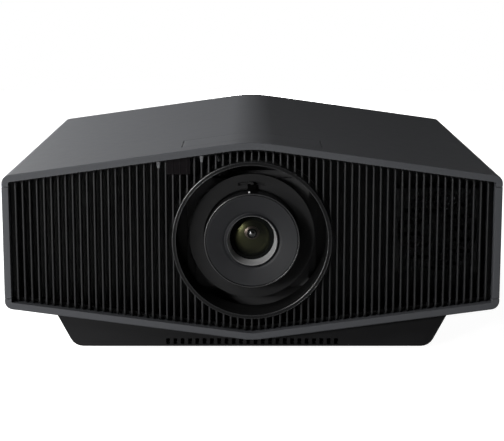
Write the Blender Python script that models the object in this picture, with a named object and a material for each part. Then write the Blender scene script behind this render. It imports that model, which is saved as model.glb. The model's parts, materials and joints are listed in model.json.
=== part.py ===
"""Home-cinema projector, as an assembly of separate pieces.

Units are metres and +Z is up. The front faces -Y. The origin is under the middle of the housing, on the surface
that the projector stands on.
"""

import math

import bmesh
import bpy
from mathutils import Matrix, Vector

MM = 0.001
GAP = 0.3 * MM
WALL = 3 * MM
WELD = 0.002 * MM

# Housing: a gabled outline, the same all the way from front to rear
WIDTH = 460 * MM
DEPTH = 472 * MM
HEIGHT = 200 * MM
FRONT = -DEPTH / 2
REAR = DEPTH / 2
HIP_Z = 44.6 * MM
KEEL_Z = 14 * MM
ROOF_ANGLE = math.radians(8)
BELLY_ANGLE = math.atan((HIP_Z - KEEL_Z) / (WIDTH / 2))
RIDGE_RADIUS = 150 * MM
RIDGE_Z = HEIGHT + RIDGE_RADIUS * (1 / math.cos(ROOF_ANGLE) - 1)
KEEL_RADIUS = 60 * MM
CORNER_RADIUS = 8 * MM
REAR_RADIUS = 8 * MM
UPPER_SEAM_Z = 159 * MM
LOWER_SEAM_Z = 54 * MM
BEZEL_WIDTH = 6.5 * MM
BEZEL_DEPTH = 14 * MM
REAR_LIP_WIDTH = 11 * MM
REAR_LIP_DEPTH = 10 * MM

# Front grille
FIN_COUNT = 67
FIN_PITCH = 6.6 * MM
FIN_THICKNESS = 2 * MM
FIN_FRONT = FRONT + 5 * MM
FIN_BACK = FRONT + 14.2 * MM
GRILLE_BACK = FRONT + 18.4 * MM
GRILLE_FLANGE = 10 * MM
PIPE_PLACES = {"light_pipe_left": -13 * FIN_PITCH, "light_pipe_right": -7 * FIN_PITCH}
WINDOW_PLACE = (-78.5 * MM, -56.6 * MM, 170 * MM)

# Lens: every radius is about this axis, which runs along Y
LENS_Z = 108.6 * MM
RING_RADIUS = 74 * MM
WELL_RADIUS = 70.2 * MM
RING_TUBE_RADIUS = 72 * MM
RING_BACK = FRONT + 40 * MM
SHROUD_RADIUS = 59 * MM
SHROUD_Y = FRONT + 25 * MM
FOCUS_RADIUS = 44.3 * MM
LENS_FACE = FRONT + 0.8 * MM
MOUTH_RADIUS = 23 * MM
SEAT_RADIUS = 20.4 * MM
ZOOM_FRONT = SHROUD_Y + 3 * MM
LEVER_RADIUS = 50.5 * MM
LEVER_SWING = math.radians(12)
BARREL_RADIUS = 39.5 * MM
BARREL_BACK = -95 * MM
CARRIAGE_Y = -191.7 * MM
SHIFT_DIAL_X = 30 * MM
SHIFT_DIAL_Y = -182 * MM
SHIFT_DIAL_RADIUS = 11.5 * MM
DIAL_SHELF_Z = 174.2 * MM

# Hatch over the lens shift dials
HATCH_HALF_WIDTH = 65.3 * MM
HATCH_FRONT = FRONT + 26 * MM
HATCH_BACK = FRONT + 75 * MM
HATCH_LEDGE = 5.3 * MM

# Plinth and feet
PLINTH_BOTTOM = 4 * MM
PLINTH_HALF_LENGTH = DEPTH / 2 - 18 * MM
PLINTH_TOP_HALF_WIDTH = 194 * MM
PLINTH_LOW_HALF_WIDTH = 167.5 * MM
PLINTH_CORNER = 13 * MM
VENT_COUNT = 24
VENT_PITCH = 6.9 * MM
VENT_WIDTH = 3.6 * MM
FOOT_X = 140 * MM
FOOT_Y = 170 * MM
FOOT_RADIUS = 15 * MM
STEM_RADIUS = 4 * MM
BRACKET_HOLE = 60 * MM

# Control panel on the right-hand side
PANEL_LOW = (-193 * MM, 117 * MM)
PANEL_HIGH = (-107 * MM, 153 * MM)
BUTTON_FACE = WIDTH / 2 - 0.3 * MM
PAD_Y = -128 * MM
PAD_Z = 135 * MM
PAD_REACH = 10.5 * MM

# Rear panel
PANEL_Y = REAR - 1.5 * MM
SOCKET_Y = REAR - 1.0 * MM
SOCKET_ROW_Z = 74 * MM
LOUVRE_COUNT = 11

# Cooling
FAN_SIZE = 80 * MM
FAN_DEPTH = 25 * MM
EXHAUST_FAN = (175 * MM, FRONT + 48 * MM, 112 * MM)
INTAKE_FAN = (-135 * MM, REAR - 26 * MM, 104 * MM)


# ---------------------------------------------------------------- materials

def material(name, color, roughness, metallic=0.0):
    """A Principled material of one colour."""
    made = bpy.data.materials.new(name)
    made.use_nodes = True
    shader = made.node_tree.nodes["Principled BSDF"]
    shader.inputs["Base Color"].default_value = (*color, 1)
    shader.inputs["Roughness"].default_value = roughness
    shader.inputs["Metallic"].default_value = metallic
    return made


def dark_plastic(name, level=0.03, roughness=0.5):
    return material(name, (level, level, level * 1.06), roughness)


def metal(name, level=0.6, roughness=0.35):
    return material(name, (level, level, level), roughness, 1.0)


# ---------------------------------------------------------------- shapes

def solid(points, faces):
    """An unnamed closed solid from points and faces, with its faces turned outwards."""
    shape = bmesh.new()
    corners = [shape.verts.new(point) for point in points]
    for face in faces:
        shape.faces.new([corners[index] for index in face])
    bmesh.ops.recalc_face_normals(shape, faces=shape.faces)
    mesh = bpy.data.meshes.new("shape")
    shape.to_mesh(mesh)
    shape.free()
    made = bpy.data.objects.new("shape", mesh)
    bpy.context.scene.collection.objects.link(made)
    return made


def loft(sections):
    """A solid through outlines of equal length, each given as its Y and its points (x, z)."""
    count = len(sections[0][1])
    points = [(x, y, z) for y, outline in sections for x, z in outline]
    faces = [tuple(range(count)), tuple(range(len(points) - count, len(points)))]
    for row in range(len(sections) - 1):
        for index in range(count):
            following = (index + 1) % count
            low, high = row * count, (row + 1) * count
            faces.append((low + index, low + following, high + following, high + index))
    return solid(points, faces)


def prism(outline, start, end):
    """An outline of points (x, z) carried along Y from start to end."""
    return loft([(start, outline), (end, outline)])


def box(low, high):
    """A block between two opposite corners."""
    rectangle = [(low[0], low[2]), (high[0], low[2]), (high[0], high[2]), (low[0], high[2])]
    return prism(rectangle, low[1], high[1])


def block(centre, size):
    """A block of a size about its centre."""
    low = [middle - length / 2 for middle, length in zip(centre, size)]
    high = [middle + length / 2 for middle, length in zip(centre, size)]
    return box(low, high)


AXES = {
    "X": Matrix(((0, 0, 1), (0, 1, 0), (-1, 0, 0))).to_4x4(),
    "Y": Matrix(((1, 0, 0), (0, 0, 1), (0, -1, 0))).to_4x4(),
    "Z": Matrix.Identity(4),
}


def turned(profile, axis="Y", centre=(0, 0, 0), segments=32):
    """A profile of points (radius, place along the axis) turned about an axis.

    A profile that starts and ends on the axis makes a solid of revolution, and any other a closed ring.
    """
    points, rings = [], []
    for radius, along in profile:
        rings.append(len(points))
        steps = segments if radius else 1
        for step in range(steps):
            angle = math.tau * step / segments
            points.append((radius * math.cos(angle), radius * math.sin(angle), along))
    on_axis = profile[0][0] == 0
    faces = []
    for index in range(len(profile) - 1 if on_axis else len(profile)):
        following = (index + 1) % len(profile)
        first, second = rings[index], rings[following]
        for step in range(segments):
            beside = (step + 1) % segments
            low = [first] if not profile[index][0] else [first + step, first + beside]
            high = [second] if not profile[following][0] else [second + beside, second + step]
            if len(low) + len(high) > 2:
                faces.append(low + high)
    made = solid(points, faces)
    made.data.transform(Matrix.Translation(centre) @ AXES[axis])
    return made


def rod(radius, start, end, axis="Y", centre=(0, 0, 0), segments=32):
    """A cylinder between two places along an axis through a centre."""
    profile = [(0, start), (radius, start), (radius, end), (0, end)]
    return turned(profile, axis, centre, segments)


def tube(outer, inner, start, end, axis="Y", centre=(0, 0, 0), segments=32):
    profile = [(inner, start), (outer, start), (outer, end), (inner, end)]
    return turned(profile, axis, centre, segments)


def joined(pieces):
    """Solids that don't touch, as the one mesh that a Boolean takes as its second shape."""
    shape = bmesh.new()
    for piece in pieces:
        shape.from_mesh(piece.data)
        bpy.data.objects.remove(piece)
    mesh = bpy.data.meshes.new("shape")
    shape.to_mesh(mesh)
    shape.free()
    made = bpy.data.objects.new("shape", mesh)
    bpy.context.scene.collection.objects.link(made)
    return made


def combine(base, operation, *tools):
    """The base after a Boolean with each tool, which is then removed."""
    for tool in tools:
        modifier = base.modifiers.new(operation, "BOOLEAN")
        modifier.operation = operation
        modifier.solver = "EXACT"
        modifier.object = tool
        graph = bpy.context.evaluated_depsgraph_get()
        shape = bmesh.new()
        shape.from_object(base, graph)
        bmesh.ops.remove_doubles(shape, verts=shape.verts, dist=WELD)
        mesh = bpy.data.meshes.new("shape")
        shape.to_mesh(mesh)
        shape.free()
        base.modifiers.clear()
        base.data = mesh
        bpy.data.objects.remove(tool)
    return base


def cut(base, *tools):
    return combine(base, "DIFFERENCE", *tools)


def add(base, *tools):
    return combine(base, "UNION", *tools)


def keep(base, *tools):
    return combine(base, "INTERSECT", *tools)


def part(name, shape, finish, pivot=(0, 0, 0)):
    """Names a finished solid, gives it its material and puts its origin at its pivot."""
    shape.name = name
    shape.data.name = name
    shape.data.materials.clear()
    shape.data.materials.append(finish)
    shape.data.transform(Matrix.Translation(-Vector(pivot)))
    shape.location = pivot
    shape.data.shade_smooth()
    shape.data.set_sharp_from_angle(angle=math.radians(30))
    return shape


# ---------------------------------------------------------------- housing

def rounded(corners, segments=4):
    """A convex, counter-clockwise outline with each corner (x, z, radius) rounded."""
    outline = []
    for index, (x, z, radius) in enumerate(corners):
        corner = Vector((x, z))
        before = (Vector(corners[index - 1][:2]) - corner).normalized()
        after = (Vector(corners[(index + 1) % len(corners)][:2]) - corner).normalized()
        half = before.angle(after) / 2
        centre = corner + (before + after).normalized() * radius / math.sin(half)
        start = corner + before * radius / math.tan(half) - centre
        first = math.atan2(start.y, start.x)
        for step in range(segments + 1):
            angle = first + (math.pi - 2 * half) * step / segments
            outline.append((centre.x + radius * math.cos(angle), centre.y + radius * math.sin(angle)))
    return outline


def housing_outline(inset=0.0):
    """The gabled outline, with every side moved inwards by the inset."""
    half = WIDTH / 2 - inset
    ridge = RIDGE_Z - inset / math.cos(ROOF_ANGLE)
    keel = KEEL_Z + inset / math.cos(BELLY_ANGLE)
    shoulder = ridge - half * math.tan(ROOF_ANGLE)
    hip = keel + half * math.tan(BELLY_ANGLE)
    corner = max(CORNER_RADIUS - inset, 1 * MM)
    return rounded([
        (0, keel, KEEL_RADIUS - inset),
        (half, hip, corner),
        (half, shoulder, corner),
        (0, ridge, RIDGE_RADIUS - inset),
        (-half, shoulder, corner),
        (-half, hip, corner),
    ])


def roof_z(x, inset=0.0):
    """The height of the roof's flat side at x, moved inwards by the inset."""
    return RIDGE_Z - inset / math.cos(ROOF_ANGLE) - abs(x) * math.tan(ROOF_ANGLE)


def belly_z(x, inset=0.0):
    """The height of the belly's flat side at x, moved inwards by the inset."""
    return KEEL_Z + inset / math.cos(BELLY_ANGLE) + abs(x) * math.tan(BELLY_ANGLE)


def housing_shell():
    """The whole housing before it is parted at its seams: open at the front and at the rear."""
    steps = 4
    sections = [(FRONT, housing_outline(0.8 * MM)), (FRONT + 0.8 * MM, housing_outline())]
    for step in range(steps + 1):
        angle = math.pi / 2 * step / steps
        y = REAR - REAR_RADIUS * (1 - math.sin(angle))
        sections.append((y, housing_outline(REAR_RADIUS * (1 - math.cos(angle)))))
    inside = prism(housing_outline(WALL), FRONT + BEZEL_DEPTH, REAR - REAR_LIP_DEPTH)
    front_opening = prism(housing_outline(BEZEL_WIDTH), FRONT - WALL, FRONT + BEZEL_DEPTH + WALL)
    rear_opening = prism(housing_outline(REAR_LIP_WIDTH), REAR - REAR_LIP_DEPTH - WALL, REAR + WALL)
    return cut(loft(sections), inside, front_opening, rear_opening)


def housing_band(low, high, left=-1.0, right=1.0):
    """The part of the housing shell between two heights, and between two places across it."""
    return keep(housing_shell(), box((left, -1, low), (right, 1, high)))


def roof_slab(half_width, start, end, top, bottom):
    """A gabled slab that follows the roof, between two depths below it."""
    outline = prism(housing_outline(top), start, end)
    inner = prism(housing_outline(bottom), start - WALL, end + WALL)
    column = box((-half_width, start - WALL, UPPER_SEAM_Z), (half_width, end + WALL, 1))
    return keep(cut(outline, inner), column)


def top_cover():
    cover = housing_band(UPPER_SEAM_Z + GAP / 2, 1)
    half = HATCH_HALF_WIDTH + GAP
    start, end = HATCH_FRONT - GAP, HATCH_BACK + GAP
    ledge = roof_slab(half + WALL, start - WALL, end + WALL, 0.5 * WALL, 2 * WALL)
    pocket = roof_slab(half, start, end, -WALL, WALL + GAP)
    inner = half - HATCH_LEDGE
    opening = box((-inner, start + HATCH_LEDGE, UPPER_SEAM_Z), (inner, end - HATCH_LEDGE, 1))
    part("top_cover", cut(add(cover, ledge), pocket, opening), dark_plastic("cover_finish", 0.05, 0.42))


def lens_shift_hatch():
    hatch = roof_slab(HATCH_HALF_WIDTH, HATCH_FRONT, HATCH_BACK, 0, WALL)
    part("lens_shift_hatch", hatch, dark_plastic("hatch_finish", 0.05, 0.42), (0, HATCH_FRONT, HEIGHT))


def side_panels():
    low, high = LOWER_SEAM_Z + GAP / 2, UPPER_SEAM_Z - GAP / 2
    part("left_side_panel", housing_band(low, high, right=0), dark_plastic("left_side_finish", 0.05, 0.42))
    right = housing_band(low, high, left=0)
    window = box(
        (WIDTH / 2 - 2 * WALL, PANEL_LOW[0], PANEL_LOW[1]),
        (WIDTH, PANEL_HIGH[0], PANEL_HIGH[1]),
    )
    part("right_side_panel", cut(right, window), dark_plastic("right_side_finish", 0.05, 0.42))


def stem_holes():
    """The holes that the front feet's stems pass through."""
    centres = [(side * FOOT_X, -FOOT_Y, 0) for side in (-1, 1)]
    return joined([rod(STEM_RADIUS + 0.6 * MM, -0.01, 0.1, "Z", centre, 16) for centre in centres])


def bottom_case():
    case = housing_band(-1, LOWER_SEAM_Z - GAP / 2)
    inlets = [
        box(((x - 20) * MM, -205 * MM, 0), ((x + 20) * MM, -170 * MM, LOWER_SEAM_Z)) for x in (-50, 0, 50)
    ]
    part("bottom_case", cut(case, stem_holes(), joined(inlets)), dark_plastic("case_finish", 0.04, 0.5))


def rear_panel():
    plate = prism(housing_outline(REAR_LIP_WIDTH + GAP), REAR - REAR_LIP_DEPTH - 2 * WALL, PANEL_Y)
    flange = prism(
        housing_outline(WALL + GAP),
        REAR - REAR_LIP_DEPTH - GAP - WALL,
        REAR - REAR_LIP_DEPTH - GAP,
    )
    hollow = prism(housing_outline(REAR_LIP_WIDTH + WALL), REAR - REAR_LIP_DEPTH - 3 * WALL, PANEL_Y - WALL)
    panel = cut(add(plate, flange), hollow)
    louvres = []
    for index in range(LOUVRE_COUNT):
        z = INTAKE_FAN[2] + (index - (LOUVRE_COUNT - 1) / 2) * 7.5 * MM
        louvres.append(block((INTAKE_FAN[0], PANEL_Y, z), (120 * MM, 20 * MM, 4 * MM)))
    openings = []
    for x, width, height in SOCKET_SIZES.values():
        openings.append(block((x, PANEL_Y, SOCKET_ROW_Z), (width + 2 * GAP, 20 * MM, height + 2 * GAP)))
    part("rear_panel", cut(panel, joined(louvres), joined(openings)), dark_plastic("rear_finish", 0.03, 0.55))


# ---------------------------------------------------------------- front

def fin_gap(index, start, end):
    """The space between one fin and the next."""
    x = (index + 0.5) * FIN_PITCH
    half = (FIN_PITCH - FIN_THICKNESS) / 2
    return box((x - half, start, 0), (x + half, end, HEIGHT + WALL))


def front_grille():
    """Free-standing fins, held by a flange behind the bezel and by a collar around the lens ring."""
    fins = prism(housing_outline(BEZEL_WIDTH + GAP), FIN_FRONT, FIN_BACK + 1 * MM)
    last = FIN_COUNT // 2
    gaps = [fin_gap(index, FIN_FRONT - WALL, FIN_BACK + WALL) for index in range(-last - 1, last + 1)]
    flange = prism(housing_outline(WALL + GAP), FIN_BACK, GRILLE_BACK)
    window = prism(housing_outline(GRILLE_FLANGE), FIN_BACK - WALL, GRILLE_BACK + WALL)
    centre = (0, 0, LENS_Z)
    ring = rod(RING_RADIUS + GAP, FIN_FRONT - WALL, FIN_BACK + WALL, "Y", centre, 48)
    collar = tube(RING_RADIUS + 3.2 * MM, RING_TUBE_RADIUS + GAP, FIN_BACK, GRILLE_BACK, "Y", centre, 48)
    grille = add(cut(fins, joined(gaps), ring), cut(flange, window), collar)
    left, right, low = WINDOW_PLACE
    back = FIN_FRONT + 4.5 * MM
    pockets = [box((left - GAP, FIN_FRONT - WALL, low - GAP), (right + GAP, back, HEIGHT))]
    for x in PIPE_PLACES.values():
        low = roof_z(x) - 14 * MM
        pockets.append(box((x - 2.6 * MM, FIN_FRONT - WALL, low), (x + 2.6 * MM, back, HEIGHT)))
    part("front_grille", cut(grille, joined(pockets)), dark_plastic("grille_finish", 0.02, 0.5))


def light_pipes():
    for name, x in PIPE_PLACES.items():
        top = roof_z(x, BEZEL_WIDTH) - 1 * MM
        outline = [
            (x - 1.1 * MM, top - 6.2 * MM),
            (x + 1.1 * MM, top - 6.2 * MM),
            (x + 1.8 * MM, top),
            (x - 1.8 * MM, top),
        ]
        pipe = prism(outline, FIN_FRONT - 0.5 * MM, FIN_FRONT + 3.7 * MM)
        part(name, pipe, material(name + "_finish", (0.5, 0.5, 0.52), 0.4))


def ir_receiver_window():
    left, right, low = WINDOW_PLACE
    inset = BEZEL_WIDTH + GAP
    outline = [(left, low), (right, low), (right, roof_z(right, inset)), (left, roof_z(left, inset))]
    window = prism(outline, FIN_FRONT - 0.5 * MM, FIN_FRONT + 4.2 * MM)
    part("ir_receiver_window", window, material("window_finish", (0.012, 0.01, 0.012), 0.15))


def exhaust_guard():
    x, y, z = EXHAUST_FAN
    columns, rows, pitch = 5, 6, 12.4 * MM
    guard = block((x, y - FAN_DEPTH / 2 - 1.3 * MM, z), (68 * MM, 1.6 * MM, 82 * MM))
    holes = []
    for column in range(columns):
        for row in range(rows):
            across, up = (column - (columns - 1) / 2) * pitch, (row - (rows - 1) / 2) * pitch
            holes.append(block((x + across, y - FAN_DEPTH / 2, z + up), (9.6 * MM, 10 * MM, 9.6 * MM)))
    part("exhaust_guard", cut(guard, joined(holes)), metal("guard_finish", 0.12, 0.5))


# ---------------------------------------------------------------- lens

LENS_CENTRE = (0, 0, LENS_Z)


def lens_turned(name, profile, finish, segments=36):
    """A piece turned about the lens axis, from points (radius, Y)."""
    part(name, turned(profile, "Y", LENS_CENTRE, segments), finish, LENS_CENTRE)


def lens_ring():
    lip = FRONT + 3.5 * MM
    profile = [
        (WELL_RADIUS, FRONT),
        (RING_RADIUS - 0.6 * MM, FRONT),
        (RING_RADIUS, FRONT + 0.6 * MM),
        (RING_RADIUS, lip),
        (RING_TUBE_RADIUS, lip),
        (RING_TUBE_RADIUS, RING_BACK),
        (WELL_RADIUS, RING_BACK),
    ]
    lens_turned("lens_ring", profile, dark_plastic("ring_finish", 0.03, 0.35), 48)


def lens_shroud():
    """The plate that closes the well around the lens, on a tube that reaches back to the carriage."""
    inner, back = FOCUS_RADIUS + 1.1 * MM, SHROUD_Y + 2 * MM
    tube_radius = SHROUD_RADIUS - 2 * MM
    profile = [
        (inner, SHROUD_Y),
        (SHROUD_RADIUS, SHROUD_Y),
        (SHROUD_RADIUS, back),
        (tube_radius, back),
        (tube_radius, CARRIAGE_Y - GAP),
        (tube_radius - 2 * MM, CARRIAGE_Y - GAP),
        (tube_radius - 2 * MM, back),
        (inner, back),
    ]
    shroud = turned(profile, "Y", LENS_CENTRE, 36)
    slot_low, slot_high = LEVER_RADIUS - 1.4 * MM, LEVER_RADIUS + 1.4 * MM
    slot = tube(slot_high, slot_low, SHROUD_Y - WALL, back + WALL, "Y", LENS_CENTRE, 48)
    reach = LEVER_RADIUS * math.sin(LEVER_SWING) + 2.4 * MM
    window = box((-reach, SHROUD_Y - 2 * WALL, LENS_Z), (reach, back + 2 * WALL, HEIGHT))
    finish = dark_plastic("shroud_finish", 0.03, 0.6)
    part("lens_shroud", cut(shroud, keep(slot, window)), finish, LENS_CENTRE)


FLANGE_FRONT = CARRIAGE_Y + 6 * MM
FLANGE_BACK = FLANGE_FRONT + 6.2 * MM
STEP_Y = FLANGE_BACK + 1.5 * MM
BARREL_FRONT = LENS_FACE + 9.2 * MM
SLEEVE_RADIUS = 34.1 * MM
ZOOM_CELL_RADIUS = 28 * MM


def lens_barrel():
    front_bore, rear_bore = SLEEVE_RADIUS + 0.4 * MM, ZOOM_CELL_RADIUS + 0.4 * MM
    profile = [
        (front_bore, BARREL_FRONT),
        (BARREL_RADIUS, BARREL_FRONT),
        (BARREL_RADIUS, FLANGE_FRONT),
        (BARREL_RADIUS + 6.5 * MM, FLANGE_FRONT),
        (BARREL_RADIUS + 6.5 * MM, FLANGE_BACK),
        (BARREL_RADIUS, FLANGE_BACK),
        (BARREL_RADIUS, BARREL_BACK),
        (rear_bore, BARREL_BACK),
        (rear_bore, STEP_Y),
        (front_bore, STEP_Y),
    ]
    lens_turned("lens_barrel", profile, metal("barrel_finish", 0.1, 0.5))


def zoom_ring():
    """The ring behind the shroud, with a lever that comes out through the shroud's slot and bends inwards."""
    back = ZOOM_FRONT + 7 * MM
    ring = tube(LEVER_RADIUS + 1.5 * MM, BARREL_RADIUS + 0.5 * MM, ZOOM_FRONT, back, "Y", LENS_CENTRE, 36)
    top = LENS_Z + LEVER_RADIUS + 0.9 * MM
    stem = box((-1.6 * MM, SHROUD_Y - 4 * MM, top - 1.8 * MM), (1.6 * MM, ZOOM_FRONT + WALL, top))
    tab_low = LENS_Z + FOCUS_RADIUS + 0.6 * MM
    tab_y = SHROUD_Y - 3 * MM
    tab = box((-3.9 * MM, tab_y - 1.2 * MM, tab_low), (3.9 * MM, tab_y + 1 * MM, tab_low + 4.4 * MM))
    neck = box((-1.6 * MM, tab_y - 0.8 * MM, tab_low + WALL), (1.6 * MM, tab_y + 0.8 * MM, top - 1 * MM))
    part("zoom_ring", add(ring, stem, tab, neck), dark_plastic("zoom_finish", 0.02, 0.5), LENS_CENTRE)


def focus_ring():
    shelf = BARREL_FRONT - 1 * MM
    rim = FOCUS_RADIUS - 1.5 * MM
    profile = [
        (rim, LENS_FACE),
        (FOCUS_RADIUS - 0.4 * MM, LENS_FACE),
        (FOCUS_RADIUS, LENS_FACE + 0.4 * MM),
        (FOCUS_RADIUS, ZOOM_FRONT - 0.7 * MM),
        (BARREL_RADIUS + 0.5 * MM, ZOOM_FRONT - 0.7 * MM),
        (BARREL_RADIUS + 0.5 * MM, shelf),
        (rim, shelf),
    ]
    lens_turned("focus_ring", profile, dark_plastic("focus_finish", 0.03, 0.45), 40)


SEAT_Y = LENS_FACE + 18 * MM


def front_lens_cell():
    """The dished face of the lens, with a raised mouth that narrows towards the front element's seat."""
    outer, end = FOCUS_RADIUS - 1.9 * MM, FRONT + 42 * MM
    profile = [
        (MOUTH_RADIUS, LENS_FACE + 0.6 * MM),
        (MOUTH_RADIUS + 0.9 * MM, LENS_FACE + 0.6 * MM),
        (MOUTH_RADIUS + 2.4 * MM, LENS_FACE + 3.2 * MM),
        (MOUTH_RADIUS + 4.4 * MM, LENS_FACE + 2.4 * MM),
        (outer, LENS_FACE),
        (outer, LENS_FACE + 2.3 * MM),
        (SLEEVE_RADIUS, LENS_FACE + 5.7 * MM),
        (SLEEVE_RADIUS, end),
        (SEAT_RADIUS + 3.8 * MM, end),
        (SEAT_RADIUS + 3.8 * MM, SEAT_Y),
        (SEAT_RADIUS, SEAT_Y),
    ]
    lens_turned("front_lens_cell", profile, dark_plastic("cell_finish", 0.03, 0.45), 40)


def lens_element(name, radius, vertex, thickness, curvature, finish):
    """A glass element whose two faces bulge outwards, with its front vertex at a given Y."""
    steps = 3
    front, back = [], []
    for step in range(steps + 1):
        reach = radius * step / steps
        sag = curvature - math.sqrt(curvature**2 - reach**2)
        front.append((reach, vertex + sag))
        back.append((reach, vertex + thickness - sag / 3))
    lens_turned(name, front + back[::-1], finish, 24)


def lens_elements():
    coated = material("front_glass_finish", (0.01, 0.014, 0.01), 0.03)
    lens_element("front_element", SEAT_RADIUS + 3.5 * MM, SEAT_Y - 3.2 * MM, 10 * MM, 60 * MM, coated)
    inner = material("inner_glass_finish", (0.02, 0.02, 0.025), 0.05)
    lens_element("zoom_element", 22 * MM, -163 * MM, 12 * MM, 50 * MM, inner)


def zoom_lens_cell():
    lip = -153 * MM
    profile = [
        (22.3 * MM, -172 * MM),
        (ZOOM_CELL_RADIUS, -172 * MM),
        (ZOOM_CELL_RADIUS, -140 * MM),
        (18 * MM, -140 * MM),
        (18 * MM, lip + 3.8 * MM),
        (22.3 * MM, lip + 3.8 * MM),
    ]
    lens_turned("zoom_lens_cell", profile, metal("zoom_cell_finish", 0.1, 0.5), 24)


# ---------------------------------------------------------------- lens shift

def lens_hole(radius, start, end):
    """A cutter about the lens axis that passes right through a plate."""
    return rod(radius, start - WALL, end + WALL, "Y", LENS_CENTRE, 32)


def horizontal_shift_carriage():
    end = FLANGE_FRONT - GAP
    plate = box((-54 * MM, CARRIAGE_Y, LENS_Z - 52 * MM), (54 * MM, end, LENS_Z + 52 * MM))
    carriage = cut(plate, lens_hole(BARREL_RADIUS + 0.5 * MM, CARRIAGE_Y, end))
    part("horizontal_shift_carriage", carriage, metal("h_carriage_finish", 0.35, 0.45), LENS_CENTRE)


def vertical_shift_carriage():
    start = STEP_Y
    end = start + 6 * MM
    plate = box((-62 * MM, start, LENS_Z - 58 * MM), (62 * MM, end, LENS_Z + 58 * MM))
    nut = box(
        (-SHIFT_DIAL_X - 7 * MM, SHIFT_DIAL_Y - 6 * MM, LENS_Z + 54 * MM),
        (-SHIFT_DIAL_X + 7 * MM, end, LENS_Z + 59.4 * MM),
    )
    thread = rod(3.3 * MM, 0.1, 0.2, "Z", (-SHIFT_DIAL_X, SHIFT_DIAL_Y, 0), 16)
    carriage = cut(add(plate, nut), lens_hole(BARREL_RADIUS + 4.5 * MM, start, end), thread)
    part("vertical_shift_carriage", carriage, metal("v_carriage_finish", 0.35, 0.45), LENS_CENTRE)


def lens_mount_frame():
    start, end = -166 * MM, -160 * MM
    half, top = 75 * MM, DIAL_SHELF_Z + 2 * MM
    inset = WALL + GAP
    outline = [
        (-half, belly_z(half, inset)),
        (0, belly_z(0, inset) + 1 * MM),
        (half, belly_z(half, inset)),
        (half, top),
        (-half, top),
    ]
    shelf = box((-45 * MM, SHIFT_DIAL_Y - 10 * MM, DIAL_SHELF_Z), (45 * MM, end, top))
    frame = cut(add(prism(outline, start, end), shelf), lens_hole(BARREL_RADIUS + 7.5 * MM, start, end))
    for x in (-SHIFT_DIAL_X, SHIFT_DIAL_X):
        bearing = rod(3.1 * MM, DIAL_SHELF_Z - WALL, top + WALL, "Z", (x, SHIFT_DIAL_Y, 0), 16)
        frame = cut(frame, bearing)
    part("lens_mount_frame", frame, metal("frame_finish", 0.3, 0.45))


def shift_dials():
    low = DIAL_SHELF_Z + 2.4 * MM
    dials = (("vertical_shift_dial", -SHIFT_DIAL_X, 154 * MM), ("horizontal_shift_dial", SHIFT_DIAL_X, 166 * MM))
    for name, x, bottom in dials:
        centre = (x, SHIFT_DIAL_Y, 0)
        profile = [
            (0, bottom),
            (2.7 * MM, bottom),
            (2.7 * MM, low),
            (SHIFT_DIAL_RADIUS, low),
            (SHIFT_DIAL_RADIUS, low + 7 * MM),
            (SHIFT_DIAL_RADIUS - 1 * MM, low + 8 * MM),
            (0, low + 8 * MM),
        ]
        dial = turned(profile, "Z", centre, 20)
        slot = block((x, SHIFT_DIAL_Y, low + 8 * MM), (16 * MM, 2 * MM, 3 * MM))
        part(name, cut(dial, slot), dark_plastic(name + "_finish", 0.08, 0.5), centre)


# ---------------------------------------------------------------- plinth and feet

def plinth_outline(inset=0.0):
    """The plinth's tapered outline, which reaches up behind the belly."""
    low, high = PLINTH_BOTTOM + inset, LOWER_SEAM_Z
    slope = (PLINTH_TOP_HALF_WIDTH - PLINTH_LOW_HALF_WIDTH) / (LOWER_SEAM_Z - PLINTH_BOTTOM)
    top = PLINTH_TOP_HALF_WIDTH - inset
    bottom = PLINTH_LOW_HALF_WIDTH - inset + slope * inset
    corner = PLINTH_CORNER - inset
    return rounded([(-bottom, low, corner), (bottom, low, corner), (top, high, 1 * MM), (-top, high, 1 * MM)])


def base_plinth():
    plinth = prism(plinth_outline(), -PLINTH_HALF_LENGTH, PLINTH_HALF_LENGTH)
    inside = prism(plinth_outline(WALL), -PLINTH_HALF_LENGTH + WALL, PLINTH_HALF_LENGTH - WALL)
    housing = prism(housing_outline(-GAP), -1, 1)
    vents = []
    for index in range(VENT_COUNT):
        x = (index - (VENT_COUNT - 1) / 2) * VENT_PITCH
        low = (x - VENT_WIDTH / 2, -PLINTH_HALF_LENGTH - WALL, 5.8 * MM)
        vents.append(box(low, (x + VENT_WIDTH / 2, -PLINTH_HALF_LENGTH + 2 * WALL, 11.5 * MM)))
    holes = []
    for side in (-1, 1):
        holes.append(rod(FOOT_RADIUS + 1 * MM, -0.01, 0.03, "Z", (side * FOOT_X, -FOOT_Y, 0), 20))
        for y in (-BRACKET_HOLE, BRACKET_HOLE):
            holes.append(rod(2.5 * MM, -0.01, 0.01, "Z", (side * BRACKET_HOLE, y, 0), 10))
    plinth = cut(plinth, inside, housing, joined(vents), joined(holes))
    part("base_plinth", plinth, dark_plastic("plinth_finish", 0.012, 0.6))


def front_feet():
    for side, name in ((-1, "left"), (1, "right")):
        centre = (side * FOOT_X, -FOOT_Y, 0)
        pad = turned(
            [(0, 0), (FOOT_RADIUS - 1 * MM, 0), (FOOT_RADIUS, 1 * MM), (FOOT_RADIUS, 5 * MM), (0, 5 * MM)],
            "Z", centre, 20,
        )
        part("front_foot_pad_" + name, pad, dark_plastic("pad_finish_" + name, 0.015, 0.8), centre)
        wheel_low, wheel_high, stem_top = 5.3 * MM, 12 * MM, 50 * MM
        screw = turned(
            [
                (0, wheel_low),
                (FOOT_RADIUS - 2 * MM, wheel_low),
                (FOOT_RADIUS - 2 * MM, wheel_high),
                (STEM_RADIUS, wheel_high),
                (STEM_RADIUS, stem_top),
                (0, stem_top),
            ],
            "Z", centre, 20,
        )
        part("front_foot_screw_" + name, screw, metal("screw_finish_" + name, 0.4, 0.4), centre)


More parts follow.
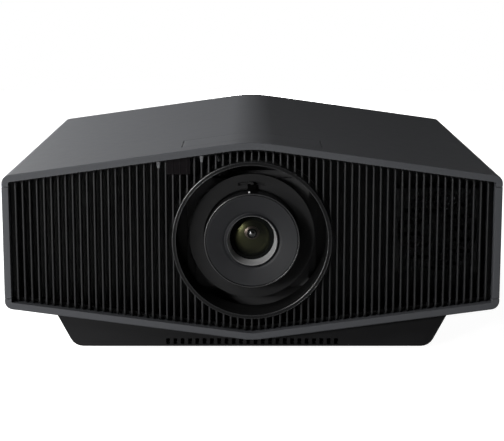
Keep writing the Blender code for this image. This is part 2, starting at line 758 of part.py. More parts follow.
def rear_feet():
    for side, name in ((-1, "left"), (1, "right")):
        centre = (side * FOOT_X, FOOT_Y, 0)
        top = PLINTH_BOTTOM - GAP
        foot = turned(
            [(0, 0), (FOOT_RADIUS - 1 * MM, 0), (FOOT_RADIUS, 1 * MM), (FOOT_RADIUS, top), (0, top)],
            "Z", centre, 20,
        )
        part("rear_foot_" + name, foot, dark_plastic("foot_finish_" + name, 0.015, 0.8), centre)


# ---------------------------------------------------------------- controls

# Each button's centre (Y, Z) and radius
BUTTONS = {
    "power_button": (-182 * MM, PAD_Z, 5 * MM),
    "input_button": (-167 * MM, PAD_Z, 3.6 * MM),
    "menu_button": (-155 * MM, PAD_Z, 3.6 * MM),
    "left_button": (PAD_Y - PAD_REACH, PAD_Z, 3.4 * MM),
    "right_button": (PAD_Y + PAD_REACH, PAD_Z, 3.4 * MM),
    "up_button": (PAD_Y, PAD_Z + PAD_REACH, 3.4 * MM),
    "down_button": (PAD_Y, PAD_Z - PAD_REACH, 3.4 * MM),
    "enter_button": (PAD_Y, PAD_Z, 4.2 * MM),
}


def control_panel():
    inner, outer = WIDTH / 2 - WALL, WIDTH / 2 - 0.5 * MM
    low = (inner, PANEL_LOW[0] + GAP, PANEL_LOW[1] + GAP)
    plate = box(low, (outer, PANEL_HIGH[0] - GAP, PANEL_HIGH[1] - GAP))
    holes = []
    for y, z, radius in BUTTONS.values():
        holes.append(rod(radius + 0.5 * MM, inner - WALL, outer + WALL, "X", (0, y, z), 14))
    part("control_panel", cut(plate, joined(holes)), dark_plastic("control_finish", 0.02, 0.4))


def buttons():
    for name, (y, z, radius) in BUTTONS.items():
        skirt = radius + 0.9 * MM
        profile = [
            (0, BUTTON_FACE - 6.3 * MM),
            (skirt, BUTTON_FACE - 6.3 * MM),
            (skirt, BUTTON_FACE - 5 * MM),
            (radius, BUTTON_FACE - 5 * MM),
            (radius, BUTTON_FACE),
            (0, BUTTON_FACE),
        ]
        button = turned(profile, "X", (0, y, z), 14)
        part(name, button, dark_plastic(name + "_finish", 0.06, 0.45), (BUTTON_FACE, y, z))


# ---------------------------------------------------------------- rear sockets

# Each socket's place across the rear, and the width and height of its body
SOCKET_SIZES = {
    "ac_inlet": (172 * MM, 30 * MM, 23 * MM),
    "hdmi_port_1": (130 * MM, 18 * MM, 9 * MM),
    "hdmi_port_2": (104 * MM, 18 * MM, 9 * MM),
    "usb_port": (80 * MM, 16 * MM, 9 * MM),
    "lan_port": (56 * MM, 17 * MM, 14.5 * MM),
    "serial_port": (24 * MM, 31 * MM, 13 * MM),
    "trigger_jack": (-4 * MM, 11 * MM, 11 * MM),
    "ir_jack": (-22 * MM, 11 * MM, 11 * MM),
}


def socket_body(name, depth):
    """The block of a socket, which stands in its opening in the rear panel."""
    x, width, height = SOCKET_SIZES[name]
    return block((x, SOCKET_Y - depth / 2, SOCKET_ROW_Z), (width, depth, height))


def slot_cutter(name, width, height, depth):
    """The rectangular mouth of a socket."""
    x = SOCKET_SIZES[name][0]
    return block((x, SOCKET_Y, SOCKET_ROW_Z), (width, 2 * depth, height))


def ac_inlet():
    x = SOCKET_SIZES["ac_inlet"][0]
    body = cut(socket_body("ac_inlet", 24 * MM), slot_cutter("ac_inlet", 24.4 * MM, 16.6 * MM, 17 * MM))
    for offset, height in ((-7 * MM, -2 * MM), (0, 2 * MM), (7 * MM, -2 * MM)):
        pin = block((x + offset, SOCKET_Y - 15 * MM, SOCKET_ROW_Z + height), (2 * MM, 14 * MM, 4 * MM))
        body = add(body, pin)
    part("ac_inlet", body, dark_plastic("inlet_finish", 0.015, 0.5))


def blade_sockets():
    """The HDMI and USB sockets: a metal shell with a tongue inside."""
    sizes = {"hdmi_port_1": (14, 4.6, 12), "hdmi_port_2": (14, 4.6, 12), "usb_port": (12.5, 5.2, 13)}
    for name, (width, height, depth) in sizes.items():
        x = SOCKET_SIZES[name][0]
        socket = cut(socket_body(name, 16 * MM), slot_cutter(name, width * MM, height * MM, depth * MM))
        tongue = block((x, SOCKET_Y - 8 * MM, SOCKET_ROW_Z), ((width - 3.5) * MM, 13 * MM, 1.4 * MM))
        part(name, add(socket, tongue), metal(name + "_finish", 0.5, 0.3))


def lan_port():
    socket = cut(socket_body("lan_port", 20 * MM), slot_cutter("lan_port", 12 * MM, 9 * MM, 14 * MM))
    part("lan_port", socket, metal("lan_finish", 0.5, 0.3))


def serial_port():
    x = SOCKET_SIZES["serial_port"][0]
    socket = cut(socket_body("serial_port", 12 * MM), slot_cutter("serial_port", 17 * MM, 8.5 * MM, 6 * MM))
    for row, count in ((1, 5), (-1, 4)):
        for index in range(count):
            place = (x + (index - (count - 1) / 2) * 2.8 * MM, 0, SOCKET_ROW_Z + row * 1.4 * MM)
            socket = add(socket, rod(0.5 * MM, SOCKET_Y - 8 * MM, SOCKET_Y - 1 * MM, "Y", place, 6))
    part("serial_port", socket, metal("serial_finish", 0.5, 0.3))


def round_jacks():
    for name in ("trigger_jack", "ir_jack"):
        x = SOCKET_SIZES[name][0]
        bore = rod(1.8 * MM, SOCKET_Y - 12 * MM, SOCKET_Y + WALL, "Y", (x, 0, SOCKET_ROW_Z), 16)
        part(name, cut(socket_body(name, 14 * MM), bore), dark_plastic(name + "_finish", 0.03, 0.5))


# ---------------------------------------------------------------- cooling

def fan(name, centre):
    """A square fan that blows along Y: its frame with struts behind, and its rotor."""
    x, y, z = centre
    front, back = y - FAN_DEPTH / 2, y + FAN_DEPTH / 2
    axis = (x, 0, z)
    duct = rod(37.8 * MM, front - WALL, back + WALL, "Y", axis, 32)
    frame = cut(block(centre, (FAN_SIZE, FAN_DEPTH, FAN_SIZE)), duct)
    strut_y = back - 1.5 * MM
    for size in ((FAN_SIZE - 2 * MM, 3 * MM, 4 * MM), (4 * MM, 3 * MM, FAN_SIZE - 2 * MM)):
        frame = add(frame, block((x, strut_y, z), size))
    frame = add(frame, rod(15 * MM, back - 3 * MM, back, "Y", axis, 24))
    bearing = rod(2.4 * MM, front, back + WALL, "Y", axis, 12)
    part(name + "_frame", cut(frame, bearing), dark_plastic(name + "_frame_finish", 0.02, 0.5))
    blade_count, blade_length = 7, 20 * MM
    rotor = rod(16 * MM, front + 1.5 * MM, back - 4 * MM, "Y", axis, 28)
    for index in range(blade_count):
        blade = block((0, 0, 16 * MM + blade_length / 2 - 1 * MM), (1.6 * MM, 18 * MM, blade_length + 1 * MM))
        blade.data.transform(Matrix.Rotation(math.radians(40), 4, "Z"))
        blade.data.transform(Matrix.Rotation(math.tau * index / blade_count, 4, "Y"))
        blade.data.transform(Matrix.Translation((x, y - 1.5 * MM, z)))
        rotor = add(rotor, blade)
    rotor = add(rotor, rod(2 * MM, back - 5 * MM, back - 1 * MM, "Y", axis, 12))
    part(name + "_rotor", rotor, dark_plastic(name + "_rotor_finish", 0.02, 0.5), centre)


def intake_filter():
    x, _, z = INTAKE_FAN
    y = REAR - 8.5 * MM
    cassette = block((x, y, z), (126 * MM, 4.5 * MM, 88 * MM))
    windows = []
    for column in range(3):
        place = (x + (column - 1) * 40 * MM, y, z)
        windows.append(block(place, (36 * MM, 20 * MM, 80 * MM)))
    mesh_bars = [
        block((x, y, z + (row - 1.5) * 20 * MM), (124 * MM, 2 * MM, 1.6 * MM)) for row in range(4)
    ]
    filter_body = cut(cassette, joined(windows))
    for bar in mesh_bars:
        filter_body = add(filter_body, bar)
    part("intake_filter", filter_body, dark_plastic("filter_finish", 0.05, 0.8))


def heat_sink():
    low, high = (128 * MM, -150 * MM, 64 * MM), (212 * MM, -30 * MM, 150 * MM)
    fin_count = 12
    pitch = (high[0] - low[0]) / fin_count
    gaps = []
    for index in range(fin_count):
        x = low[0] + (index + 0.5) * pitch
        bottom = (x - 0.35 * pitch, low[1] - WALL, low[2] + 8 * MM)
        gaps.append(box(bottom, (x + 0.35 * pitch, high[1] + WALL, 1)))
    part("heat_sink", cut(box(low, high), joined(gaps)), metal("sink_finish", 0.7, 0.4))


# ---------------------------------------------------------------- light and electronics

WHEEL_CENTRE = (92 * MM, -30 * MM, 105 * MM)


def laser_light_source():
    x, y, z = WHEEL_CENTRE
    body = box((60 * MM, -140 * MM, 66 * MM), (124 * MM, y - 4 * MM, 146 * MM))
    window = rod(9 * MM, -145 * MM, -100 * MM, "Y", (x, 0, z), 20)
    bearing = rod(3.4 * MM, y - 22 * MM, y, "Y", (x, 0, z), 16)
    part("laser_light_source", cut(body, window, bearing), metal("laser_finish", 0.45, 0.45))


def phosphor_wheel():
    x, y, z = WHEEL_CENTRE
    profile = [
        (0, y - 18 * MM),
        (3 * MM, y - 18 * MM),
        (3 * MM, y - 2 * MM),
        (28 * MM, y - 1 * MM),
        (28 * MM, y),
        (9 * MM, y),
        (9 * MM, y + 4 * MM),
        (0, y + 4 * MM),
    ]
    finish = material("wheel_finish", (0.8, 0.75, 0.2), 0.4)
    part("phosphor_wheel", turned(profile, "Y", (x, 0, z), 24), finish, WHEEL_CENTRE)


def optical_block():
    body = box((-58 * MM, -88 * MM, 66 * MM), (55 * MM, 60 * MM, 150 * MM))
    bore = rod(26 * MM, -95 * MM, -20 * MM, "Y", LENS_CENTRE, 32)
    part("optical_block", cut(body, bore), metal("optical_finish", 0.25, 0.5))


def circuit_board(name, low, high, components):
    """A board with components standing on it, each given as its corner (x, y) and its size, in millimetres."""
    board = box(low, high)
    base = high[2] - 0.2 * MM
    for x, y, width, length, height in components:
        top = ((x + width) * MM, (y + length) * MM, base + height * MM)
        board = add(board, box((x * MM, y * MM, base), top))
    part(name, board, material(name + "_finish", (0.03, 0.16, 0.07), 0.5))


def electronics():
    main_parts = [(-80, -40, 30, 30, 6), (-20, -20, 40, 40, 8), (50, 10, 24, 24, 5), (-70, 60, 50, 16, 9)]
    main_low, main_high = (-100 * MM, -70 * MM, 158 * MM), (100 * MM, 150 * MM, 159.6 * MM)
    circuit_board("main_board", main_low, main_high, main_parts)
    supply_parts = [
        (-205, -100, 40, 50, 34),
        (-150, -90, 30, 30, 30),
        (-200, 0, 26, 26, 36),
        (-160, 20, 50, 36, 24),
    ]
    supply_low, supply_high = (-212 * MM, -120 * MM, 55 * MM), (-85 * MM, 110 * MM, 56.6 * MM)
    circuit_board("power_supply_board", supply_low, supply_high, supply_parts)


# ---------------------------------------------------------------- assembly

def main():
    for leftover in list(bpy.data.objects):
        bpy.data.objects.remove(leftover)
    top_cover()
    lens_shift_hatch()
    side_panels()
    bottom_case()
    rear_panel()
    front_grille()
    light_pipes()
    ir_receiver_window()
    exhaust_guard()
    lens_ring()
    lens_shroud()
    lens_barrel()
    zoom_ring()
    focus_ring()
    front_lens_cell()
    lens_elements()
    zoom_lens_cell()
    horizontal_shift_carriage()
    vertical_shift_carriage()
    lens_mount_frame()
    shift_dials()
    base_plinth()
    front_feet()
    rear_feet()
    control_panel()
    buttons()
    ac_inlet()
    blade_sockets()
    lan_port()
    serial_port()
    round_jacks()
    fan("exhaust_fan", EXHAUST_FAN)
    fan("intake_fan", INTAKE_FAN)
    intake_filter()
    heat_sink()
    laser_light_source()
    phosphor_wheel()
    optical_block()
    electronics()


main()
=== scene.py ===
"""Looks for a home-cinema projector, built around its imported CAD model.

Units are metres and +Z is up. The front faces -Y. A point of an outline is (x, z), and a point of a turned
profile is (radius, place along the axis, fillet radius).
"""

import json
import math

import bmesh
import bpy
from mathutils import Matrix, Vector

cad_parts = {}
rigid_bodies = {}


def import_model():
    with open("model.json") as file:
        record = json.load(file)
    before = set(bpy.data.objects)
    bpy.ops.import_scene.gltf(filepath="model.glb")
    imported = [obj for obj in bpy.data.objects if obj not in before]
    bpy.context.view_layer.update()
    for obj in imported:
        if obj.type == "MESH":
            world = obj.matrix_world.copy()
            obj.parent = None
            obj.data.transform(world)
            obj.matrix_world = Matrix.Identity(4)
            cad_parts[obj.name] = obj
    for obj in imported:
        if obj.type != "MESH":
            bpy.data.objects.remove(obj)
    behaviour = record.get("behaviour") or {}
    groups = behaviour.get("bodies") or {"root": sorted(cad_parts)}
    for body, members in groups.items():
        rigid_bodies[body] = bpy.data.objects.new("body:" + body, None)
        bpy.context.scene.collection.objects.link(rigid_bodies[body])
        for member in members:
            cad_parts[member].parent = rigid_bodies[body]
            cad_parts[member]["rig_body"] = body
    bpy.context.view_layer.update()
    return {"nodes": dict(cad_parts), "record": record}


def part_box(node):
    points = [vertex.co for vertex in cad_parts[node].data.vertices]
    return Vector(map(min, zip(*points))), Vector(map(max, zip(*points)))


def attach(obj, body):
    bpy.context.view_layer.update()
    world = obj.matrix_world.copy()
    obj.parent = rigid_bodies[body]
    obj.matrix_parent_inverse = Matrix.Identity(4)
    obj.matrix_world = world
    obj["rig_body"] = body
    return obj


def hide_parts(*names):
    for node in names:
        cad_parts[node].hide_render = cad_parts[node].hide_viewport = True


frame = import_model()
NODES = frame["nodes"]

MM = 0.001
GAP = 0.3 * MM
SEAM = 0.6 * MM
WALL = 3 * MM

# Housing, as in the CAD model
FRONT, REAR = -236 * MM, 236 * MM
HALF_WIDTH, HEIGHT = 230 * MM, 200 * MM
KEEL_Z, HIP_Z = 14 * MM, 44.6 * MM
ROOF_ANGLE = math.radians(8)
BELLY_ANGLE = math.atan((HIP_Z - KEEL_Z) / HALF_WIDTH)
RIDGE_RADIUS, KEEL_RADIUS, CORNER_RADIUS = 150 * MM, 60 * MM, 8 * MM
RIDGE_Z = HEIGHT + RIDGE_RADIUS * (1 / math.cos(ROOF_ANGLE) - 1)
UPPER_SEAM_Z, LOWER_SEAM_Z = 159 * MM, 54 * MM
BEZEL_WIDTH, BEZEL_DEPTH = 6.5 * MM, 14 * MM
EDGE_RADIUS, REAR_RADIUS = 1.2 * MM, 8 * MM
REAR_LIP_WIDTH, REAR_LIP_DEPTH = 11 * MM, 10 * MM

# Front grille
FIN_COUNT, FIN_PITCH, FIN_THICKNESS = 67, 6.6 * MM, 2 * MM
FIN_FRONT, FIN_BACK, GRILLE_BACK = FRONT + 5 * MM, FRONT + 14.2 * MM, FRONT + 18.4 * MM
PIPE_COLUMNS = {"light_pipe_left": -13, "light_pipe_right": -7}
PIPE_DEPTH = 14 * MM
RECEIVER_COLUMNS = (-11, -10, -9)
RECEIVER_LEFT, RECEIVER_RIGHT, RECEIVER_LOW = -78.5 * MM, -56.6 * MM, 170 * MM

# Lens
LENS_Z = 108.6 * MM
LENS_CENTRE = Vector((0, 0, LENS_Z))
RING_RADIUS, WELL_RADIUS, RING_TUBE_RADIUS = 74 * MM, 70.2 * MM, 72 * MM
SHROUD_RADIUS, SHROUD_Y = 59 * MM, FRONT + 25 * MM
FOCUS_RADIUS, LENS_FACE = 44.3 * MM, FRONT + 0.8 * MM
MOUTH_RADIUS, SEAT_RADIUS, SEAT_Y = 23 * MM, 20.4 * MM, FRONT + 18.8 * MM
LEVER_RADIUS, LEVER_REACH = 50.5 * MM, math.radians(14.5)
LIP_WIDTH = 0.8 * MM

# Lens shift hatch, and the ledge under it, with its depths below the roof
HATCH_HALF_WIDTH = 65.3 * MM
HATCH_FRONT, HATCH_BACK = FRONT + 26 * MM, FRONT + 75 * MM
LEDGE_WIDTH, LEDGE_TOP, LEDGE_BOTTOM = 5.3 * MM, 3.2 * MM, 6 * MM

# Openings in the right side and in the belly, as in the CAD model
PANEL_OPENING = ((220 * MM, -193 * MM, 117 * MM), (240 * MM, -107 * MM, 153 * MM))
WINDOWS_X, WINDOW_HALF_WIDTH = (-50 * MM, 0, 50 * MM), 20 * MM
WINDOW_FRONT, WINDOW_BACK = -205 * MM, -170 * MM
FOOT_X, FOOT_Y, FOOT_HOLE_RADIUS = 140 * MM, -170 * MM, 4.6 * MM

# Light shield and exhaust guard
SHIELD_Y, SHIELD_THICKNESS = FRONT + 46 * MM, 0.8 * MM
GUARD_ROWS, GUARD_COLUMNS, GUARD_PITCH, GUARD_HOLE_RADIUS = 14, 10, 6.2 * MM, 2.1 * MM

# Rear: the screws' places are in millimetres
SOCKETS = ("ac_inlet", "hdmi_port_1", "hdmi_port_2", "usb_port", "lan_port", "serial_port", "trigger_jack",
           "ir_jack")
PANEL_Y = REAR - 1.5 * MM
LOUVRE_COUNT, LOUVRE_PITCH, LOUVRE_WIDTH = 11, 7.5 * MM, 120 * MM
REAR_SCREWS = ((-212, 60), (-212, 150), (212, 60), (212, 150), (-30, 186), (30, 186), (0, 32))
SCREW_RADIUS, SCREW_HEIGHT, HEX_SEGMENTS = 2.8 * MM, 1.1 * MM, 36
FILTER_PLEATS = 42

# Studio: the floor looks white, but throws only part of that light back at the object
FLOOR_TONE, FLOOR_GLOW, ROOM_LIGHT = 0.3, 0.95, 0.008

# Camera, fitted to the outline in the photograph: its dip is in degrees, its focal length in millimetres
CAMERA_PLACE, CAMERA_DIP, FOCAL_LENGTH = (0, -1.5751, 0.3718), 10.318, 105.7


# ---------------------------------------------------------------- materials

def material(name, color, roughness, metallic=0.0, specular=0.5, grain=0.08, grain_size=0.35, mottle=0.12,
             wear=0.0, patchy=0.05, **sockets):
    """A moulded, cast or painted surface: mottled colour and gloss, a fine grain, and convex edges painted
    paler, partly as worn edges and partly as a painted edge highlight.

    grain_size is in millimetres, and patchy is how far the roughness varies. Other sockets are set by name.
    """
    made = bpy.data.materials.new(name)
    made.use_nodes = True
    nodes, links = made.node_tree.nodes, made.node_tree.links
    shader = nodes["Principled BSDF"]
    shader.inputs["Metallic"].default_value = metallic
    shader.inputs["Specular IOR Level"].default_value = specular
    for socket, value in sockets.items():
        shader.inputs[socket.replace("_", " ")].default_value = value
    coordinates = nodes.new("ShaderNodeTexCoord")

    def noise(scale, detail):
        texture = nodes.new("ShaderNodeTexNoise")
        texture.inputs["Scale"].default_value = scale
        texture.inputs["Detail"].default_value = detail
        links.new(coordinates.outputs["Object"], texture.inputs["Vector"])
        return texture.outputs["Fac"]

    def remapped(value, **levels):
        remap = nodes.new("ShaderNodeMapRange")
        for socket, level in levels.items():
            remap.inputs[socket.replace("_", " ")].default_value = level
        links.new(value, remap.inputs["Value"])
        return remap.outputs["Result"]

    broad = noise(28, 4)
    tint = nodes.new("ShaderNodeMix")
    tint.data_type = "RGBA"
    tint.inputs["A"].default_value = (*[level * (1 - mottle) for level in color], 1)
    tint.inputs["B"].default_value = (*[level * (1 + mottle) for level in color], 1)
    links.new(broad, tint.inputs["Factor"])
    surface = tint.outputs["Result"]
    # Convex edges, found by pointiness, are mixed towards a paler colour: partly worn edges, partly a painted
    # edge highlight.
    if wear:
        geometry = nodes.new("ShaderNodeNewGeometry")
        edge = remapped(geometry.outputs["Pointiness"], From_Min=0.53, From_Max=0.62, To_Max=wear)
        edge_wear_and_highlight = nodes.new("ShaderNodeMix")
        edge_wear_and_highlight.data_type = "RGBA"
        edge_wear_and_highlight.inputs["B"].default_value = (*[min(1, 0.06 + level * 1.6) for level in color], 1)
        links.new(edge, edge_wear_and_highlight.inputs["Factor"])
        links.new(surface, edge_wear_and_highlight.inputs["A"])
        surface = edge_wear_and_highlight.outputs["Result"]
    links.new(surface, shader.inputs["Base Color"])

    low, high = max(0.02, roughness - patchy), min(1, roughness + patchy)
    gloss = remapped(noise(90, 3), From_Min=0.3, From_Max=0.7, To_Min=low, To_Max=high)
    links.new(gloss, shader.inputs["Roughness"])

    if grain:
        bump = nodes.new("ShaderNodeBump")
        bump.inputs["Strength"].default_value = grain
        bump.inputs["Distance"].default_value = 0.2 * MM
        links.new(noise(1 / (grain_size * MM), 2), bump.inputs["Height"])
        links.new(bump.outputs["Normal"], shader.inputs["Normal"])
    return made


# One for each material slot of the CAD model, and a few more: colour, roughness and the other settings
FINISHES = {
    "cover": (
        (0.0408, 0.0424, 0.0462), 0.62, dict(specular=0.2, grain=0.06, mottle=0.04, wear=0.1, patchy=0.015),
    ),
    "grille": ((0.0052, 0.0054, 0.0058), 0.45, dict(specular=0.26, grain=0.04, wear=0.1)),
    "plinth": ((0.0024, 0.0024, 0.0029), 0.55, dict(specular=0.18, grain=0.12)),
    "ring": ((0.0025, 0.0025, 0.0027), 0.22, dict(specular=0.22, grain=0, patchy=0.02)),
    "ring_edge": ((0.008, 0.008, 0.0085), 0.26, dict(specular=0.7, grain=0, patchy=0.02)),
    "lens_black": ((0.0092, 0.0095, 0.0106), 0.48, dict(specular=0.2, grain=0.03)),
    "lens_metal": ((0.03, 0.03, 0.032), 0.40, dict(metallic=0.6, grain=0.04)),
    "coated_glass": ((0.002, 0.0022, 0.0022), 0.08, dict(specular=0.08, grain=0, mottle=0.05, patchy=0.02)),
    "clear_glass": ((0.9, 0.92, 0.95), 0.02, dict(grain=0, mottle=0.01, Transmission_Weight=1.0, IOR=1.5)),
    "smoked_window": ((0.0022, 0.0015, 0.0020), 0.15, dict(specular=0.12, grain=0)),
    "light_pipe": ((0.09, 0.092, 0.096), 0.30, dict(grain=0.02)),
    "guard": ((0.012, 0.012, 0.012), 0.5, dict(specular=0.3, grain=0.05)),
    "rubber": ((0.012, 0.012, 0.012), 0.8, dict(grain=0.2, grain_size=0.8)),
    "steel": ((0.42, 0.42, 0.43), 0.3, dict(metallic=1.0, grain=0.03)),
    "cast_aluminium": ((0.02, 0.02, 0.021), 0.5, dict(grain=0.25, grain_size=0.9)),
    "heat_aluminium": ((0.62, 0.62, 0.63), 0.35, dict(metallic=1.0, grain=0.06)),
    "button": ((0.030, 0.030, 0.032), 0.55, dict(specular=0.22, grain=0.06, wear=0.2)),
    "dial": ((0.045, 0.045, 0.048), 0.45, dict(wear=0.2)),
    "fan_black": ((0.015, 0.015, 0.015), 0.4, dict(grain=0.03)),
    "filter": ((0.05, 0.05, 0.05), 0.85, dict(grain=0.4, grain_size=0.7)),
    "socket_metal": ((0.26, 0.26, 0.265), 0.38, dict(metallic=1.0, grain=0.03)),
    "socket_black": ((0.012, 0.012, 0.012), 0.45, dict(grain=0.05)),
    "phosphor": ((0.70, 0.62, 0.10), 0.6, dict(grain=0.15, grain_size=0.3)),
    "circuit": ((0.012, 0.10, 0.04), 0.35, dict(grain=0.06, grain_size=1.5, mottle=0.25)),
}
MATERIALS = {
    name: material(name, color, roughness, **settings)
    for name, (color, roughness, settings) in FINISHES.items()
}


# ---------------------------------------------------------------- making and placing pieces

def settle(shape, name):
    """An object from a bmesh, with its faces turned outwards."""
    bmesh.ops.recalc_face_normals(shape, faces=shape.faces)
    mesh = bpy.data.meshes.new(name)
    shape.to_mesh(mesh)
    shape.free()
    made = bpy.data.objects.new(name, mesh)
    bpy.context.scene.collection.objects.link(made)
    return made


def place(piece, body, slot, *replaced, bevel=0.0, segments=2, finish=None, sharp=35):
    """Gives a piece its finish and soft edges, and makes it ride on a body."""
    piece.data.materials.clear()
    piece.data.materials.append(finish or MATERIALS[slot])
    piece.data.shade_smooth()
    if bevel:
        rounding = piece.modifiers.new("edges", "BEVEL")
        rounding.width = bevel
        rounding.segments = segments
        rounding.limit_method = "ANGLE"
        rounding.angle_limit = math.radians(sharp)
        rounding.miter_outer = "MITER_ARC"
    else:
        piece.data.set_sharp_from_angle(angle=math.radians(sharp))
    weighted = piece.modifiers.new("normals", "WEIGHTED_NORMAL")
    weighted.keep_sharp = True
    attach(piece, body)
    if replaced:
        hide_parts(*replaced)
    return piece


def middle(node):
    """The middle and the size of a CAD node's box."""
    low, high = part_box(node)
    return (low + high) / 2, high - low


def body_of(node):
    return NODES[node]["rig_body"]


def slot_of(node):
    return next(row["material_slot"] for row in frame["record"]["subparts"] if row["node"] == node)


def soften(node, bevel=0.3 * MM, segments=2, finish=None):
    """A copy of a CAD node with rounded edges, which stands for it."""
    shape = bmesh.new()
    shape.from_mesh(NODES[node].data)
    bmesh.ops.remove_doubles(shape, verts=shape.verts, dist=0.005 * MM)
    bmesh.ops.dissolve_limit(shape, angle_limit=math.radians(0.5), verts=shape.verts, edges=shape.edges)
    piece = settle(shape, node + "_soft")
    return place(piece, body_of(node), slot_of(node), node, bevel=bevel, segments=segments, finish=finish)


def loft(rows, closed_rows=False, closed_points=False, caps=True, shape=None):
    """Faces through rows of points. Both directions can run round, and open ones are capped."""
    shape = shape or bmesh.new()
    grid = [[shape.verts.new(point) for point in row] for row in rows]
    count, length = len(grid), len(grid[0])
    for i in range(count if closed_rows else count - 1):
        for j in range(length if closed_points else length - 1):
            k, m = (i + 1) % count, (j + 1) % length
            shape.faces.new((grid[i][j], grid[i][m], grid[k][m], grid[k][j]))
    if caps and not closed_rows:
        shape.faces.new(grid[0])
        shape.faces.new(grid[-1])
    if caps and not closed_points and closed_rows:
        shape.faces.new([row[0] for row in grid])
        shape.faces.new([row[-1] for row in grid])
    return shape


def rounded(points, steps=5):
    """A polyline of points (u, v, fillet radius), with each corner that has a radius rounded."""
    path = []
    for index, (u, v, radius) in enumerate(points):
        if not radius:
            path.append((u, v))
            continue
        corner = Vector((u, v))
        before = (Vector(points[index - 1][:2]) - corner).normalized()
        after = (Vector(points[(index + 1) % len(points)][:2]) - corner).normalized()
        half = before.angle(after) / 2
        centre = corner + (before + after).normalized() * radius / math.sin(half)
        start = corner + before * radius / math.tan(half) - centre
        end = corner + after * radius / math.tan(half) - centre
        first = math.atan2(start.y, start.x)
        turn = (math.atan2(end.y, end.x) - first + math.pi) % math.tau - math.pi
        for step in range(steps + 1):
            angle = first + turn * step / steps
            path.append((centre.x + radius * math.cos(angle), centre.y + radius * math.sin(angle)))
    return path


AXES = {
    "X": Matrix(((0, 0, 1), (0, 1, 0), (-1, 0, 0))).to_4x4(),
    "Y": Matrix(((1, 0, 0), (0, 0, 1), (0, -1, 0))).to_4x4(),
    "Z": Matrix.Identity(4),
}


def turned(name, profile, segments=96, axis="Y", centre=LENS_CENTRE, steps=5, radius_at=None):
    """A closed profile of (radius, place, fillet radius) turned about an axis.

    radius_at can flute it: it gives the radius for a point's radius, its place and the segment's number.
    """
    path = rounded(profile, steps)
    rows = []
    for step in range(segments):
        angle = math.tau * step / segments
        row = []
        for radius, along in path:
            reach = radius_at(radius, along, step) if radius_at else radius
            row.append((reach * math.cos(angle), reach * math.sin(angle), along))
        rows.append(row)
    shape = loft(rows, closed_rows=True, closed_points=True, caps=False)
    bmesh.ops.remove_doubles(shape, verts=shape.verts, dist=0.001 * MM)
    piece = settle(shape, name)
    piece.data.transform(Matrix.Translation(centre) @ AXES[axis])
    return piece


def band(name, inner, outer, start, end, segments, fillets=(0, 0, 0, 0), **turning):
    """A ring with a rectangular section, with fillets, in millimetres, in the order of its corners."""
    corners = ((inner, start), (outer, start), (outer, end), (inner, end))
    profile = [(*corner, fillet * MM) for corner, fillet in zip(corners, fillets)]
    return turned(name, profile, segments, **turning)


def ring_points(radius, count, centre):
    """The corners of a regular outline round a centre."""
    angles = [i * math.tau / count for i in range(count)]
    return [(centre[0] + radius * math.cos(angle), centre[1] + radius * math.sin(angle)) for angle in angles]


def rectangle(u, v, width, height, radius=0.0):
    """The outline of a rectangle round its middle, with rounded corners."""
    signs = ((-1, -1), (1, -1), (1, 1), (-1, 1))
    return rounded([(u + a * width / 2, v + b * height / 2, radius) for a, b in signs], 3)


PLANES = {
    "front": Matrix(((1, 0, 0), (0, 0, -1), (0, 1, 0))).to_4x4(),
    "side": Matrix(((0, 0, 1), (1, 0, 0), (0, 1, 0))).to_4x4(),
    "flat": Matrix.Identity(4),
}


def plate(name, outlines, start, end, plane="front", bevel=0.0):
    """A flat plate with holes: its first outline is its edge and the others are holes.

    It reaches from start to end along the plane's normal axis: Y for front, X for side and Z for flat.
    """
    curve = bpy.data.curves.new(name, "CURVE")
    curve.dimensions = "2D"
    curve.fill_mode = "BOTH"
    thickness = end - start
    curve.extrude = thickness / 2 - bevel
    curve.bevel_depth = bevel
    curve.bevel_resolution = 1
    curve.offset = -bevel
    for outline in outlines:
        spline = curve.splines.new("POLY")
        spline.points.add(len(outline) - 1)
        for point, (u, v) in zip(spline.points, outline):
            point.co = (u, v, 0, 1)
        spline.use_cyclic_u = True
    holder = bpy.data.objects.new(name, curve)
    bpy.context.scene.collection.objects.link(holder)
    graph = bpy.context.evaluated_depsgraph_get()
    shape = bmesh.new()
    shape.from_mesh(bpy.data.meshes.new_from_object(holder.evaluated_get(graph)))
    bpy.data.objects.remove(holder)
    bmesh.ops.remove_doubles(shape, verts=shape.verts, dist=0.002 * MM)
    piece = settle(shape, name)
    middle = (start + end) / 2
    offset = {"front": (0, middle, 0), "side": (middle, 0, 0), "flat": (0, 0, middle)}[plane]
    piece.data.transform(Matrix.Translation(offset) @ PLANES[plane])
    return piece


def block(name, low, high):
    """A plain block between two corners, for a piece that gets rounded edges."""
    shape = bmesh.new()
    bmesh.ops.create_cube(shape, size=1)
    size = [b - a for a, b in zip(low, high)]
    middle = [(a + b) / 2 for a, b in zip(low, high)]
    bmesh.ops.scale(shape, vec=size, verts=shape.verts)
    bmesh.ops.translate(shape, vec=middle, verts=shape.verts)
    return settle(shape, name)


def joined(name, pieces):
    """Several pieces as one object."""
    shape = bmesh.new()
    for piece in pieces:
        shape.from_mesh(piece.data)
        bpy.data.objects.remove(piece)
    return settle(shape, name)


def carve(piece, *cutters):
    """Takes the cutters' shapes out of a piece."""
    for cutter in cutters:
        cut = piece.modifiers.new("cut", "BOOLEAN")
        cut.operation = "DIFFERENCE"
        cut.solver = "EXACT"
        cut.object = cutter
        graph = bpy.context.evaluated_depsgraph_get()
        shape = bmesh.new()
        shape.from_object(piece, graph)
        piece.modifiers.clear()
        bmesh.ops.remove_doubles(shape, verts=shape.verts, dist=0.003 * MM)
        bmesh.ops.dissolve_limit(shape, angle_limit=math.radians(0.2), verts=shape.verts, edges=shape.edges)
        shape.to_mesh(piece.data)
        shape.free()
        bpy.data.objects.remove(cutter)
    return piece


# ---------------------------------------------------------------- housing

